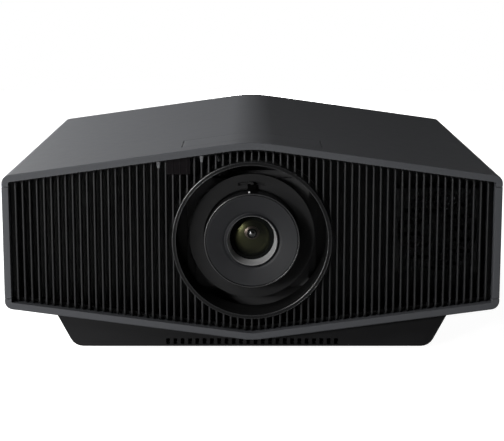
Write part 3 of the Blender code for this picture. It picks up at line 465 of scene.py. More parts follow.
def outline_corners(inset):
    """The corners of the gabled outline, counter-clockwise from the keel: (x, z, radius)."""
    half = HALF_WIDTH - inset
    ridge = RIDGE_Z - inset / math.cos(ROOF_ANGLE)
    keel = KEEL_Z + inset / math.cos(BELLY_ANGLE)
    shoulder = ridge - half * math.tan(ROOF_ANGLE)
    hip = keel + half * math.tan(BELLY_ANGLE)
    corner = max(CORNER_RADIUS - inset, 1 * MM)
    return [
        (0, keel, KEEL_RADIUS - inset),
        (half, hip, corner),
        (half, shoulder, corner),
        (0, ridge, RIDGE_RADIUS - inset),
        (-half, shoulder, corner),
        (-half, hip, corner),
    ]


CORNER_STEPS = 8


def outline(inset):
    return rounded(outline_corners(inset), CORNER_STEPS)


def outline_arcs(inset, *indices):
    """The rounded corners of the outline with these indices, one after another."""
    points = outline(inset)
    size = CORNER_STEPS + 1
    return [point for index in indices for point in points[index * size:(index + 1) * size]]


def top_line(inset):
    half, seam = HALF_WIDTH - inset, UPPER_SEAM_Z + SEAM / 2
    return [(half, seam), *outline_arcs(inset, 2, 3, 4), (-half, seam)]


def bottom_line(inset):
    half, seam = HALF_WIDTH - inset, LOWER_SEAM_Z - SEAM / 2
    return [(-half, seam), *outline_arcs(inset, 5, 0, 1), (half, seam)]


def side_line(side):
    low, high = LOWER_SEAM_Z + SEAM / 2, UPPER_SEAM_Z - SEAM / 2
    return lambda inset: [(side * (HALF_WIDTH - inset), low), (side * (HALF_WIDTH - inset), high)]


def shell_section():
    """The housing wall's section, as (Y, inset) all round it: bezel, outer face, rear lip and inner face."""
    section = []
    for step in range(5):
        angle = math.pi / 2 * step / 4
        section.append((FRONT + EDGE_RADIUS * (1 - math.cos(angle)), EDGE_RADIUS * (1 - math.sin(angle))))
    for step in range(9):
        angle = math.pi / 2 * (1 - step / 8)
        section.append((REAR - REAR_RADIUS * (1 - math.cos(angle)), REAR_RADIUS * (1 - math.sin(angle))))
    section += [
        (REAR, REAR_LIP_WIDTH),
        (REAR - REAR_LIP_DEPTH, REAR_LIP_WIDTH),
        (REAR - REAR_LIP_DEPTH, WALL),
        (FRONT + BEZEL_DEPTH, WALL),
        (FRONT + BEZEL_DEPTH, BEZEL_WIDTH),
        (FRONT, BEZEL_WIDTH),
    ]
    return section


def shell(name, line):
    """A shell of the housing, whose line gives a run of the outline at an inset."""
    rows = [[(x, y, z) for x, z in line(inset)] for y, inset in shell_section()]
    return settle(loft(rows, closed_rows=True), name)


def hoop(section, shape=None):
    """A closed section of (Y, inset) run round the whole outline."""
    rows = [[(x, y, z) for x, z in outline(inset)] for y, inset in section]
    return loft(rows, closed_rows=True, closed_points=True, caps=False, shape=shape)


def roof_height(x, inset=0.0):
    """The height of the roof at x, with its rounded ridge, moved inwards by the inset."""
    radius = RIDGE_RADIUS - inset
    if abs(x) < radius * math.sin(ROOF_ANGLE):
        return RIDGE_Z - RIDGE_RADIUS / math.cos(ROOF_ANGLE) + math.sqrt(radius**2 - x**2)
    return RIDGE_Z - inset / math.cos(ROOF_ANGLE) - abs(x) * math.tan(ROOF_ANGLE)


def belly_height(x, inset=0.0):
    """The height of the belly at x, with its rounded keel, moved inwards by the inset."""
    radius = KEEL_RADIUS - inset
    if abs(x) < radius * math.sin(BELLY_ANGLE):
        return KEEL_Z + KEEL_RADIUS / math.cos(BELLY_ANGLE) - math.sqrt(radius**2 - x**2)
    return KEEL_Z + inset / math.cos(BELLY_ANGLE) + abs(x) * math.tan(BELLY_ANGLE)


def roof_slab(name, half, start, end, top, bottom):
    """A slab that follows the roof between two depths below it."""
    steps = 28
    across = [half * (2 * i / steps - 1) for i in range(steps + 1)]
    section = [(x, roof_height(x, top)) for x in across]
    section += [(x, roof_height(x, bottom)) for x in across[::-1]]
    rows = [[(x, y, z) for x, z in section] for y in (start, end)]
    return settle(loft(rows, closed_points=True), name)


def build_housing():
    """The housing's four shells with their openings, the hatch, and the ledge that it lies on."""
    half = HATCH_HALF_WIDTH + GAP
    start, end = HATCH_FRONT - GAP, HATCH_BACK + GAP
    inside, above = 150 * MM, 210 * MM
    cover = shell("roof_cover", top_line)
    carve(cover, block("cutter", (-half, start, inside), (half, end, above)))
    place(cover, "root", "cover", "top_cover", bevel=0.3 * MM)

    ledge = roof_slab("hatch_ledge", half + WALL, start - WALL, end + WALL, LEDGE_TOP, LEDGE_BOTTOM)
    inner = half - LEDGE_WIDTH
    carve(ledge, block("cutter", (-inner, start + LEDGE_WIDTH, inside), (inner, end - LEDGE_WIDTH, above)))
    place(ledge, "root", "cover", "top_cover", bevel=0.2 * MM)

    trim = SEAM - GAP
    hatch = roof_slab("hatch_lid", HATCH_HALF_WIDTH - trim, HATCH_FRONT + trim, HATCH_BACK - trim, 0, WALL)
    place(hatch, "hatch", "cover", "lens_shift_hatch", bevel=0.35 * MM)

    place(shell("left_side", side_line(-1)), "root", "cover", "left_side_panel", bevel=0.3 * MM)
    right = shell("right_side", side_line(1))
    carve(right, block("cutter", *PANEL_OPENING))
    place(right, "root", "cover", "right_side_panel", bevel=0.3 * MM)

    belly = shell("belly", bottom_line)
    for x in WINDOWS_X:
        low = (x - WINDOW_HALF_WIDTH, WINDOW_FRONT, 0)
        carve(belly, block("cutter", low, (x + WINDOW_HALF_WIDTH, WINDOW_BACK, 50 * MM)))
    for x in (-FOOT_X, FOOT_X):
        carve(belly, band("cutter", 0, FOOT_HOLE_RADIUS, 0, 100 * MM, 32, axis="Z", centre=(x, FOOT_Y, 0)))
    place(belly, "root", "cover", "bottom_case", bevel=0.3 * MM)


# ---------------------------------------------------------------- front

def fin(shape, x, low, high, rounded_low, rounded_high):
    """One fin of the grille, between two heights given as functions of x. A free end curves back."""
    half, nose, lean, root = FIN_THICKNESS / 2, 0.8 * MM, 4.5 * MM, FIN_BACK + MM
    corners = ((-half, root, 0), (-half, FIN_FRONT, nose), (half, FIN_FRONT, nose), (half, root, 0))
    section = rounded(corners, 3)

    def row(end, sign, distance, curved):
        back = lean - math.sqrt(max(lean**2 - (lean - distance)**2, 0)) if curved and distance < lean else 0
        scale = 1 - back / (root - FIN_FRONT)
        return [(x + dx, root - (root - y) * scale, end(x + dx) + sign * distance) for dx, y in section]

    curve, flat = (0, 0.25 * MM, 0.9 * MM, 1.8 * MM, lean), (0,)
    rows = [row(low, 1, distance, rounded_low) for distance in (curve if rounded_low else flat)]
    rows += [row(high, -1, distance, rounded_high) for distance in (curve[::-1] if rounded_high else flat)]
    loft(rows, closed_points=True, shape=shape)


def build_grille():
    """The fins with the frame and the collar that hold them, the light pipes and the receiver's window."""
    inset = BEZEL_WIDTH + GAP
    clear = RING_RADIUS + GAP

    def above_ring(x):
        return LENS_Z + math.sqrt(max(clear**2 - x**2, 0))

    def below_ring(x):
        return LENS_Z - math.sqrt(max(clear**2 - x**2, 0))

    def roof(x):
        return roof_height(x, inset)

    def belly(x):
        return belly_height(x, inset)

    def below_pipe(x):
        return roof_height(x) - PIPE_DEPTH

    def below_receiver(x):
        return RECEIVER_LOW - 0.2 * MM

    shape = bmesh.new()
    last = FIN_COUNT // 2
    for index in range(-last, last + 1):
        x = index * FIN_PITCH
        top = roof
        if RECEIVER_LEFT < x < RECEIVER_RIGHT:
            top = below_receiver
        elif index in PIPE_COLUMNS.values():
            top = below_pipe
        if abs(x) < clear - MM:
            fin(shape, x, belly, below_ring, True, False)
            fin(shape, x, above_ring, top, False, top is roof)
        else:
            fin(shape, x, belly, top, True, top is roof)
    rail = 3.3 * MM, 10 * MM
    hoop([(FIN_BACK, rail[0]), (FIN_BACK, rail[1]), (GRILLE_BACK, rail[1]), (GRILLE_BACK, rail[0])], shape)
    fins = settle(shape, "grille_fins")
    collar = band("collar", RING_TUBE_RADIUS + GAP, RING_RADIUS + 3.2 * MM, FIN_BACK, GRILLE_BACK, 96)
    place(joined("grille", [fins, collar]), "root", "grille", "front_grille", sharp=40)

    for node in PIPE_COLUMNS:
        soften(node, 0.5 * MM, 3)
    soften("ir_receiver_window", 0.4 * MM, 3)
    face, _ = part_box("ir_receiver_window")
    ribs = []
    for index in RECEIVER_COLUMNS:
        x = index * FIN_PITCH
        low = (x - 0.7 * MM, face.y - 0.25 * MM, RECEIVER_LOW + MM)
        ribs.append(block("rib", low, (x + 0.7 * MM, face.y + MM, roof(x) - 1.5 * MM)))
    place(joined("window_ribs", ribs), "root", "smoked_window", bevel=0.2 * MM)


def build_shield():
    """The black sheet behind the grille that keeps stray light in: it stops at the lens and at the fan."""
    centre, size = middle("exhaust_fan_frame")
    fan = rectangle(centre.x, centre.z, size.x + 2 * MM, size.z + 2 * MM, 2 * MM)
    lens = ring_points(RING_TUBE_RADIUS + 1.5 * MM, 96, (0, LENS_Z))
    outlines = [outline(WALL + 1.2 * MM), lens, fan]
    place(plate("light_shield", outlines, SHIELD_Y, SHIELD_Y + SHIELD_THICKNESS), "root", "guard")


def build_guard():
    """The perforated plate in front of the exhaust fan: staggered rows of round holes."""
    low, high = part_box("exhaust_guard")
    centre, size = middle("exhaust_guard")
    outlines = [rectangle(centre.x, centre.z, size.x, size.z, 3 * MM)]
    for row in range(GUARD_ROWS):
        stagger = 0.25 if row % 2 else -0.25
        for column in range(GUARD_COLUMNS):
            x = centre.x + (column - (GUARD_COLUMNS - 1) / 2 + stagger) * GUARD_PITCH
            z = centre.z + (row - (GUARD_ROWS - 1) / 2) * GUARD_PITCH * 0.9
            outlines.append(ring_points(GUARD_HOLE_RADIUS, 12, (x, z)))
    place(plate("perforated_guard", outlines, low.y, high.y), "root", "guard", "exhaust_guard")


# ---------------------------------------------------------------- lens

def build_trim_ring():
    """The ring that the lens sits in: its dark face between two bright lips, and the matt tube behind it."""
    inner, outer = WELL_RADIUS + LIP_WIDTH / 2, RING_RADIUS - LIP_WIDTH / 2
    tube_start, back = FRONT + 1.2 * MM, FRONT + 3.5 * MM
    ring = band("lens_trim_ring", inner, outer, FRONT + 0.1 * MM, back, 160)
    place(ring, "root", "ring", "lens_ring", sharp=50)
    lips = [
        band("outer_lip", RING_RADIUS - LIP_WIDTH, RING_RADIUS, FRONT, back, 160, (0.1, 0.7, 0, 0)),
        band("inner_lip", WELL_RADIUS, WELL_RADIUS + LIP_WIDTH, FRONT, tube_start, 160, (0.5, 0.1, 0, 0)),
    ]
    bright = MATERIALS["ring_edge"]
    place(joined("lens_ring_lips", lips), "root", "ring", "lens_ring", sharp=50, finish=bright)
    tube = band("lens_ring_tube", WELL_RADIUS, RING_TUBE_RADIUS, tube_start, FRONT + 40 * MM, 160)
    well_black = material("well_black", (0.0034, 0.0034, 0.0035), 0.7, specular=0.1, grain=0.03)
    place(tube, "root", "ring", "lens_ring", sharp=50, finish=well_black)


def lever_slot(half_width, steps=16):
    """The outline of the slot for the zoom lever, which follows a circle round the lens."""
    points = []
    for radius, side in ((LEVER_RADIUS + half_width, -1), (LEVER_RADIUS - half_width, 1)):
        for step in range(steps + 1):
            angle = math.pi / 2 - side * LEVER_REACH * (1 - 2 * step / steps)
            points.append((radius * math.cos(angle), LENS_Z + radius * math.sin(angle)))
    return points


def build_shroud():
    """The shroud round the lens with the zoom lever's slot, and the zoom ring with its lever."""
    back = SHROUD_Y + 2 * MM
    face = plate("shroud_face", [
        ring_points(SHROUD_RADIUS, 128, (0, LENS_Z)),
        ring_points(FOCUS_RADIUS + 1.1 * MM, 96, (0, LENS_Z)),
        lever_slot(1.2 * MM),
    ], SHROUD_Y, back, bevel=0.25 * MM)
    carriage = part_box("horizontal_shift_carriage")[0].y - GAP
    tube_radius = SHROUD_RADIUS - 2 * MM
    tube = band("shroud_tube", tube_radius - 2 * MM, tube_radius, back - 0.2 * MM, carriage, 96)
    matt = material("shroud_black", (0.0054, 0.0054, 0.0057), 0.6, specular=0.2, grain=0.05)
    place(joined("lens_shroud_ring", [face, tube]), "lens_body", "lens_black", "lens_shroud", finish=matt)

    # The lever's tab is near-black and has no gloss at all, darker than black plastic would be: the lever's
    # own black with painted shade, so that it reads as a dark gap.
    lever_black_and_shade = material("lever_black_painted_shade", (0.0012, 0.0012, 0.0012), 0.6, specular=0.0, grain=0.02)
    soften("zoom_ring", finish=matt)
    rim_top = LENS_Z + FOCUS_RADIUS
    tab = block("lever_tab", (-4.1 * MM, SHROUD_Y - 4.35 * MM, rim_top + 0.5 * MM),
                (4.1 * MM, SHROUD_Y - 1.9 * MM, rim_top + 5.1 * MM))
    place(tab, body_of("zoom_ring"), "lens_black", "zoom_ring", bevel=0.4 * MM, finish=lever_black_and_shade)


def build_focus_ring():
    """The focus ring: a bright lip, a fluted grip and a small pale dot on its top."""
    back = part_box("focus_ring")[1].y
    inner, shelf = 40 * MM, LENS_FACE + 8.2 * MM
    rim, lip_end = FOCUS_RADIUS - 1.5 * MM, LENS_FACE + 1.2 * MM

    def fluted(radius, along, step):
        grip = LENS_FACE + 3 * MM < along < back - MM and radius > 42 * MM
        return radius - (0.35 * MM if grip and step % 2 else 0)

    edge = band("focus_lip", rim, FOCUS_RADIUS, LENS_FACE, lip_end, 144, (0.4, 0.6, 0, 0))
    place(edge, "focus_ring", "lens_black", "focus_ring", sharp=50, finish=MATERIALS["ring_edge"])
    focus = turned("focus_grip", [
        (rim, lip_end, 0),
        (FOCUS_RADIUS, lip_end, 0),
        (FOCUS_RADIUS, LENS_FACE + 2.6 * MM, 0),
        (FOCUS_RADIUS, LENS_FACE + 3.4 * MM, 0),
        (FOCUS_RADIUS, back - 1.4 * MM, 0),
        (FOCUS_RADIUS, back, 0),
        (inner, back, 0),
        (inner, shelf, 0),
        (rim, shelf, 0),
    ], 288, radius_at=fluted)
    place(focus, "focus_ring", "lens_black", "focus_ring", sharp=50, finish=MATERIALS["ring"])
    # A tiny raised disc on the ring's top, painted pale.
    mark = band("focus_mark", 0, 1 * MM, 0, 0.9 * MM, 20, (0, 0, 0.3, 0), axis="Z",
                centre=(-2.4 * MM, LENS_FACE + 8.5 * MM, LENS_Z + FOCUS_RADIUS - 0.4 * MM))
    pale_dot_paint = material("pale_dot_paint", (0.55, 0.55, 0.55), 0.3, grain=0)
    place(mark, "focus_ring", "steel", finish=pale_dot_paint)


def build_lens_front():
    """The lens's dished face with its cell, and the pale painted funnel down to the front glass."""
    outer, neck, end = FOCUS_RADIUS - 1.9 * MM, 34.1 * MM, FRONT + 42 * MM
    cell = turned("lens_face", [
        (MOUTH_RADIUS + 0.2 * MM, LENS_FACE + 0.6 * MM, 0),
        (MOUTH_RADIUS + 0.9 * MM, LENS_FACE + 0.6 * MM, 0.3 * MM),
        (MOUTH_RADIUS + 2.4 * MM, LENS_FACE + 3.2 * MM, 0.6 * MM),
        (MOUTH_RADIUS + 4.4 * MM, LENS_FACE + 2.4 * MM, 1.5 * MM),
        (36 * MM, LENS_FACE + 1.0 * MM, 6 * MM),
        (outer, LENS_FACE, 0.35 * MM),
        (outer, LENS_FACE + 2.3 * MM, 0),
        (neck, LENS_FACE + 5.7 * MM, 0),
        (neck, end, 0),
        (SEAT_RADIUS + 3.8 * MM, end, 0),
        (SEAT_RADIUS + 3.8 * MM, SEAT_Y, 0),
        (SEAT_RADIUS + 0.8 * MM, SEAT_Y, 0),
    ], 128)
    place(cell, "front_group", "lens_black", "front_lens_cell")
    mouth = turned("lens_mouth", [
        (MOUTH_RADIUS, LENS_FACE + 0.7 * MM, 0.2 * MM),
        (MOUTH_RADIUS + 0.4 * MM, LENS_FACE + 0.7 * MM, 0.1 * MM),
        (SEAT_RADIUS + 0.9 * MM, SEAT_Y, 0),
        (SEAT_RADIUS, SEAT_Y, 0.3 * MM),
    ], 96)
    mouth_paint = material("mouth_paint", (0.20, 0.20, 0.20), 0.5, grain=1.0, grain_size=1.1, mottle=0.4)
    place(mouth, "front_group", "lens_metal", "front_lens_cell", finish=mouth_paint)


def build_glass():
    """The front element: a dark coated bowl, with the faces of the elements behind it as its zones.

    Each zone is (name, distance above the axis, inner radius, outer radius, radius of curvature, depth,
    roughness, specular, tint), in millimetres.
    """
    low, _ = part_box("front_element")
    back = low.y + 8.5 * MM
    zones = (
        ("edge", 0, 17.6, SEAT_RADIUS / MM + 3.2, 60, 0.0, 0.10, 0.06, (0.8, 0.9, 1.0)),
        ("green", 0, 0.0, 17.8, 56, 0.6, 0.24, 0.34, (0.93, 0.95, 0.44)),
        ("rose", 3.0, 0.0, 7.8, 28, 0.3, 0.28, 0.60, (1.0, 0.80, 0.68)),
        ("rim", 4.0, 3.4, 4.9, 8, 0.0, 0.40, 0.02, (1.0, 1.0, 1.0)),
        ("core", 4.0, 0.0, 4.2, 5, -1.4, 0.20, 1.00, (1.0, 1.0, 1.0)),
    )
    steps = 8
    for name, rise, inner, outer, curvature, depth, roughness, specular, tint in zones:
        start = curvature - math.sqrt(curvature**2 - inner**2)
        profile = []
        for step in range(steps + 1):
            reach = inner + (outer - inner) * step / steps
            sag = curvature - math.sqrt(curvature**2 - reach**2)
            profile.append((reach * MM, low.y + (depth + sag - start) * MM, 0))
        profile += [(outer * MM, back, 0), (inner * MM, back, 0)]
        zone = turned(name + "_glass", profile, 72, centre=(0, 0, LENS_Z + rise * MM))
        coating = material(name + "_coating", (0.0042, 0.0046, 0.0042), roughness, specular=specular, grain=0,
                           mottle=0.05, patchy=0.02, Specular_Tint=(*tint, 1))
        place(zone, "front_group", "coated_glass", "front_element", finish=coating, sharp=40)


# ---------------------------------------------------------------- rear

def hexagonal(is_flat):
    """A radius_at for turned() that gives six flats to the radii which is_flat picks."""
    def reach(radius, along, step):
        if not is_flat(radius):
            return radius
        turn = (math.tau * step / HEX_SEGMENTS + math.pi / 6) % (math.pi / 3) - math.pi / 6
        return radius * math.cos(math.pi / 6) / math.cos(turn)

    return reach


def screw(name, centre):
    """A screw head with a hexagonal recess, lying on the rear panel."""
    return turned(name, [
        (0, 0.3 * SCREW_HEIGHT, 0),
        (0.48 * SCREW_RADIUS, 0.3 * SCREW_HEIGHT, 0),
        (0.50 * SCREW_RADIUS, SCREW_HEIGHT, 0),
        (0.8 * SCREW_RADIUS, SCREW_HEIGHT, 0.1 * MM),
        (SCREW_RADIUS, 0.4 * SCREW_HEIGHT, 0.15 * MM),
        (SCREW_RADIUS, -0.3 * MM, 0),
        (0, -0.3 * MM, 0),
    ], HEX_SEGMENTS, "Y", centre, 2, hexagonal(lambda radius: radius <= 0.5 * SCREW_RADIUS))


def raised_edge(name, x, z, width, height, line, rise, corner):
    """A thin raised line round a rectangle of the rear panel."""
    outlines = [
        rectangle(x, z, width, height, corner),
        rectangle(x, z, width - 2 * line, height - 2 * line, corner - MM),
    ]
    return plate(name, outlines, PANEL_Y - 0.2 * MM, PANEL_Y + rise, bevel=0.2 * MM)


def build_rear():
    """The rear panel with its openings and slanting louvres, two raised outlines, and its screws."""
    fan, _ = middle("intake_fan_frame")
    outlines = [outline(REAR_LIP_WIDTH + GAP)]
    levels = [fan.z + (index - (LOUVRE_COUNT - 1) / 2) * LOUVRE_PITCH for index in range(LOUVRE_COUNT)]
    outlines += [rectangle(fan.x, z, LOUVRE_WIDTH, 4 * MM, 1.4 * MM) for z in levels]
    for node in SOCKETS:
        centre, size = middle(node)
        outlines.append(rectangle(centre.x, centre.z, size.x + 2 * GAP, size.z + 2 * GAP, 0.5 * MM))
    face = plate("rear_face", outlines, PANEL_Y - 2.4 * MM, PANEL_Y, bevel=0.3 * MM)

    front, back, lip = PANEL_Y - 2.2 * MM, REAR - REAR_LIP_DEPTH - GAP, REAR_LIP_WIDTH + GAP
    rim = settle(hoop([
        (front, lip),
        (back, lip),
        (back, WALL + GAP),
        (back - WALL, WALL + GAP),
        (back - WALL, REAR_LIP_WIDTH + WALL),
        (front, REAR_LIP_WIDTH + WALL),
    ]), "rear_rim")
    slats = []
    slat_size = Vector((LOUVRE_WIDTH, 0.8 * MM, 3.8 * MM))
    for z in levels:
        slat = block("slat", -slat_size / 2, slat_size / 2)
        slat.data.transform(Matrix.Rotation(math.radians(32), 4, "X"))
        slat.data.transform(Matrix.Translation((fan.x, PANEL_Y - 1.9 * MM, z)))
        slats.append(slat)
    place(joined("rear_cover", [face, rim, *slats]), "root", "grille", "rear_panel", sharp=40)

    inlet_low, inlet_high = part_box("ac_inlet")
    left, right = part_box("ir_jack")[0].x - 8 * MM, inlet_high.x + 6 * MM
    frame_x, frame_z = (left + right) / 2, (inlet_low.z + inlet_high.z) / 2
    ridge = raised_edge("socket_frame", frame_x, frame_z, right - left, 34 * MM, 1.2 * MM, 0.6 * MM, 3 * MM)
    place(ridge, "root", "grille")
    door_width = LOUVRE_WIDTH + 16 * MM
    door = raised_edge("filter_door", fan.x, fan.z, door_width, 96 * MM, 1.5 * MM, 0.5 * MM, 5 * MM)
    place(joined("filter_door_edge", [door]), "root", "grille")

    heads = [screw("head", (x * MM, PANEL_Y, z * MM)) for x, z in REAR_SCREWS]
    black_steel = material("black_steel", (0.05, 0.05, 0.052), 0.35, metallic=1.0, grain=0.02)
    place(joined("rear_screws", heads), "root", "steel", sharp=30, finish=black_steel)


def build_filter():
    """The intake filter: a sheet folded into pleats."""
    low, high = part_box("intake_filter")
    pleats = []
    for index in range(FILTER_PLEATS * 2 + 1):
        x = low.x + (high.x - low.x) * index / (FILTER_PLEATS * 2)
        pleats.append((x, low.y + 0.2 * MM if index % 2 else high.y - 1.2 * MM))
    rows = []
    for z in (low.z, high.z):
        rows.append([(x, y, z) for x, y in pleats] + [(x, y + 1.0 * MM, z) for x, y in pleats[::-1]])
    sheet = settle(loft(rows, closed_points=True), "pleated_filter")
    place(sheet, "root", "filter", "intake_filter", sharp=20)


def build_sockets():
    """The sockets with contacts in their mouths, round collars on the jacks and posts by the serial port."""
    for node in SOCKETS:
        soften(node, 0.25 * MM)
    front = REAR - 1.0 * MM
    gold = material("contact_gold", (0.75, 0.52, 0.20), 0.25, metallic=1.0, grain=0.02)
    contacts = []
    # Node, number, pitch, depth behind the mouth, and bottom and top above the middle, in millimetres
    for node, count, pitch, depth, bottom, top in (
        ("hdmi_port_1", 9, 1.0, 2.5, 0.6, 0.95),
        ("hdmi_port_2", 9, 1.0, 2.5, 0.6, 0.95),
        ("usb_port", 4, 2.0, 2.5, 0.6, 0.95),
        ("lan_port", 8, 1.1, 2.0, 3.6, 4.0),
    ):
        centre, _ = middle(node)
        for index in range(count):
            x = centre.x + (index - (count - 1) / 2) * pitch * MM
            low = (x - 0.25 * MM, front - 9 * MM, centre.z + bottom * MM)
            contacts.append(block("contact", low, (x + 0.25 * MM, front - depth * MM, centre.z + top * MM)))
    place(joined("socket_contacts", contacts), "root", "socket_metal", finish=gold)

    serial, _ = middle("serial_port")
    posts = []
    for side in (-1, 1):
        posts.append(band("post", 1.2 * MM, 2.6 * MM, front - 0.2 * MM, front + 0.8 * MM, HEX_SEGMENTS,
                          (0, 0, 0.2, 0.2), centre=(serial.x + side * 12.5 * MM, 0, serial.z), steps=2,
                          radius_at=hexagonal(lambda radius: radius > 2 * MM)))
    place(joined("serial_posts", posts), "root", "steel", sharp=25)
    collars = []
    for node in ("trigger_jack", "ir_jack"):
        centre, _ = middle(node)
        collars.append(band("collar", 1.9 * MM, 3.4 * MM, front - 2 * MM, front + 0.7 * MM, 32,
                            (0, 0, 0.3, 0.3), centre=(centre.x, 0, centre.z), steps=3))
    place(joined("jack_collars", collars), "root", "steel", sharp=35)


# ---------------------------------------------------------------- controls and feet

def build_controls():
    """The control panel, with a raised ring round the direction pad, and the buttons with their marks."""
    low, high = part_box("control_panel")
    centre, size = middle("control_panel")
    outlines = [rectangle(centre.y, centre.z, size.y, size.z, 2 * MM)]
    buttons = [node for node in NODES if node.endswith("_button")]
    skirt_width, clearance = 0.9 * MM, 0.5 * MM
    for node in buttons:
        centre, size = middle(node)
        outlines.append(ring_points(size.z / 2 - skirt_width + clearance, 40, (centre.y, centre.z)))
    face = plate("control_face", outlines, low.x, high.x, "side", bevel=0.3 * MM)
    pad, _ = middle("enter_button")
    ring = band("pad_ring", 15.6 * MM, 16.6 * MM, high.x - 0.3 * MM, high.x + 0.35 * MM, 72, (0, 0, 0.2, 0.2),
                axis="X", centre=(0, pad.y, pad.z), steps=3)
    panel_black = material("panel_black", (0.014, 0.014, 0.015), 0.62, specular=0.18, grain=0.06, patchy=0.02)
    place(joined("control_plate", [face, ring]), "root", "socket_black", "control_panel", finish=panel_black,
          sharp=40)

    white = material("button_mark", (0.55, 0.55, 0.55), 0.5, grain=0.02)
    for node in buttons:
        low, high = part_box(node)
        centre, size = middle(node)
        skirt, shelf, dish = size.z / 2, low.x + 1.3 * MM, high.x - 0.25 * MM
        radius = skirt - skirt_width
        cap = turned(node + "_cap", [
            (0, low.x, 0),
            (skirt, low.x, 0),
            (skirt, shelf, 0),
            (radius, shelf, 0),
            (radius, high.x, 0.5 * MM),
            (radius - 0.9 * MM, high.x, 0.4 * MM),
            (radius - 1.4 * MM, dish, 1 * MM),
            (0, dish, 0),
        ], 48, "X", (0, centre.y, centre.z), 4)
        place(cap, body_of(node), "button", node, sharp=40)
        place(button_mark(node, centre, high.x - 0.15 * MM), body_of(node), "button", finish=white)


def button_mark(node, centre, top):
    """The raised mark on a button: a triangle that points its way, a ring, bars, a frame or a dot."""
    turns = {"up_button": 90, "down_button": -90, "left_button": 180, "right_button": 0}
    y, z = centre.y, centre.z
    if node in turns:
        angles = [math.radians(turns[node] + corner) for corner in (0, 130, -130)]
        outlines = [[(y + 1.3 * MM * math.cos(angle), z + 1.3 * MM * math.sin(angle)) for angle in angles]]
    elif node == "power_button":
        outlines = [ring_points(1.9 * MM, 32, (y, z)), ring_points(1.5 * MM, 32, (y, z))]
    elif node == "menu_button":
        outlines = [rectangle(y, z + step * 0.9 * MM, 2.6 * MM, 0.4 * MM) for step in (-1, 0, 1)]
    elif node == "input_button":
        outlines = [
            rectangle(y, z, 2.8 * MM, 2.0 * MM, 0.3 * MM),
            rectangle(y, z, 2.1 * MM, 1.3 * MM, 0.2 * MM),
        ]
    else:
        outlines = [ring_points(0.8 * MM, 24, (y, z))]
    return plate(node + "_mark", outlines, top - 0.12 * MM, top + 0.1 * MM, "side")


def build_feet():
    """The front feet's threaded stems and knurled wheels, and the ribbed rubber of all four feet."""
    for side in ("left", "right"):
        build_foot_screw(side)
        for prefix, body in (("front_foot_pad_", side + "_foot"), ("rear_foot_", "root")):
            build_foot_rubber(prefix + side, body)


def build_foot_screw(side):
    """A threaded stem on a knurled wheel."""
    low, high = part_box("front_foot_screw_" + side)
    centre, size = middle("front_foot_screw_" + side)
    wheel, stem, chamfer = size.x / 2, 4 * MM, 0.6 * MM
    wheel_top = low.z + 6.7 * MM
    profile = [
        (0, low.z, 0),
        (wheel - chamfer, low.z, 0),
        (wheel, low.z + 0.8 * MM, 0),
        (wheel, wheel_top - 0.8 * MM, 0),
        (wheel - chamfer, wheel_top, 0),
        (stem, wheel_top, 0),
    ]
    z = wheel_top + 0.6 * MM
    while z < high.z - 1.6 * MM:
        profile += [(stem, z, 0), (stem - 0.55 * MM, z + 0.5 * MM, 0)]
        z += 1.0 * MM
    profile += [(stem, high.z - 0.8 * MM, 0), (stem - chamfer, high.z, 0), (0, high.z, 0)]

    def knurl(reach, along, step):
        return reach - (0.5 * MM if reach > wheel - 0.1 * MM and step % 3 == 0 else 0)

    bolt = turned("threaded_foot_" + side, profile, 90, "Z", (centre.x, centre.y, 0), 2, knurl)
    place(bolt, side + "_foot", "steel", "front_foot_screw_" + side, sharp=30)


def build_foot_rubber(node, body):
    """A rubber foot with grooves in the face that it stands on."""
    _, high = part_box(node)
    centre, size = middle(node)
    groove = 0.6 * MM
    profile = [(0, groove, 0)]
    for inner in (3 * MM, 6 * MM, 9 * MM):
        outer = inner + 1.6 * MM
        profile += [(inner, groove, 0), (inner, 0, 0.2 * MM), (outer, 0, 0.2 * MM), (outer, groove, 0)]
    profile += [
        (12 * MM, groove, 0),
        (12 * MM, 0, 0.2 * MM),
        (size.x / 2, 0, 0.9 * MM),
        (size.x / 2, high.z, 0.4 * MM),
        (0, high.z, 0),
    ]
    pad = turned(node + "_ribbed", profile, 64, "Z", (centre.x, centre.y, 0), 3)
    place(pad, body, "rubber", node, sharp=35)


def build_rest():
    """Rounded edges for the plinth and the lens shift mechanism, and a finish for every node that stays."""
    for node in ("base_plinth", "vertical_shift_carriage", "horizontal_shift_carriage", "lens_mount_frame",
                 "vertical_shift_dial", "horizontal_shift_dial"):
        soften(node)
    for node, piece in NODES.items():
        piece.data.materials.clear()
        piece.data.materials.append(MATERIALS[slot_of(node)])


# ---------------------------------------------------------------- stage, lights and camera

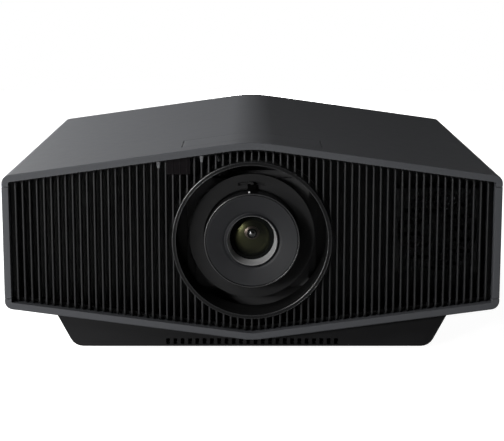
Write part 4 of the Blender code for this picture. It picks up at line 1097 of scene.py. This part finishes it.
def build_stage():
    """A floor and a room that look white to the camera, but light the object only weakly."""
    floor = block("floor", (-3.5, -3, -20 * MM), (3.5, 2.4, 0))
    paint = material("floor_paint", (FLOOR_TONE, FLOOR_TONE, FLOOR_TONE), 0.8, specular=0.1, grain=0.02,
                     mottle=0.01, Emission_Color=(1, 1, 1, 1))
    nodes, links = paint.node_tree.nodes, paint.node_tree.links
    ray = nodes.new("ShaderNodeLightPath")
    glow = nodes.new("ShaderNodeMath")
    glow.operation = "MULTIPLY"
    glow.inputs[1].default_value = FLOOR_GLOW
    links.new(ray.outputs["Is Camera Ray"], glow.inputs[0])
    links.new(glow.outputs["Value"], nodes["Principled BSDF"].inputs["Emission Strength"])
    floor.data.materials.append(paint)

    world = bpy.data.worlds.new("studio")
    bpy.context.scene.world = world
    world.use_nodes = True
    nodes, links = world.node_tree.nodes, world.node_tree.links
    room, backdrop = nodes["Background"], nodes.new("ShaderNodeBackground")
    for shader, strength in ((room, ROOM_LIGHT), (backdrop, 1.0)):
        shader.inputs["Color"].default_value = (1, 1, 1, 1)
        shader.inputs["Strength"].default_value = strength
    path = nodes.new("ShaderNodeLightPath")
    mix = nodes.new("ShaderNodeMixShader")
    links.new(path.outputs["Is Camera Ray"], mix.inputs["Fac"])
    links.new(room.outputs["Background"], mix.inputs[1])
    links.new(backdrop.outputs["Background"], mix.inputs[2])
    links.new(mix.outputs["Shader"], nodes["World Output"].inputs["Surface"])


def area_light(name, position, target, width, height, power):
    """A rectangular light that faces a target and isn't seen itself."""
    data = bpy.data.lights.new(name, "AREA")
    data.shape = "RECTANGLE"
    data.size, data.size_y = width, height
    data.energy = power
    light = bpy.data.objects.new(name, data)
    bpy.context.scene.collection.objects.link(light)
    light.visible_camera = False
    light.location = position
    light.rotation_euler = (Vector(target) - Vector(position)).to_track_quat("-Z", "Y").to_euler()


def build_lights():
    """The light comes from the left, as in the photograph.

    The key and front_low light the front, left_low and back_low the roof's left slope, and sparkle makes the
    highlight in the glass. The two fills are weak and low, for the right side and the rear.
    """
    area_light("key", (-1.15, -1.35, 1.15), (-0.05, -0.236, 0.1), 0.6, 0.6, 27)
    area_light("front_low", (-1.3, -1.7, 0.25), (0, -0.236, 0.1), 0.6, 0.5, 15)
    area_light("left_low", (-1.5, 0.35, 0.42), (0, 0, 0.2), 1.2, 0.6, 114)
    area_light("back_low", (-2.3, 2.3, 0.50), (0, 0, 0.2), 3.2, 0.9, 82)
    area_light("sparkle", (-0.88, -1.95, 0.51), (0, -0.21, 0.11), 0.25, 0.25, 17)
    area_light("right_fill", (2.2, 0.4, 0.08), (0, 0, 0.1), 1.0, 0.1, 8)
    area_light("rear_fill", (0.5, 2.3, 0.08), (0, 0, 0.1), 1.2, 0.1, 20)


def build_camera():
    data = bpy.data.cameras.new("camera")
    data.sensor_width = 36
    data.lens = FOCAL_LENGTH
    camera = bpy.data.objects.new("camera", data)
    bpy.context.scene.collection.objects.link(camera)
    camera.location = CAMERA_PLACE
    camera.rotation_euler = (math.radians(90 - CAMERA_DIP), 0, 0)
    bpy.context.scene.camera = camera


build_camera()
build_stage()
build_lights()
build_housing()
build_grille()
build_shield()
build_guard()
build_trim_ring()
build_shroud()
build_focus_ring()
build_lens_front()
build_glass()
build_rear()
build_filter()
build_sockets()
build_controls()
build_feet()
build_rest()
bpy.context.scene.view_settings.view_transform = "Standard"
bpy.context.scene.view_settings.look = "None"
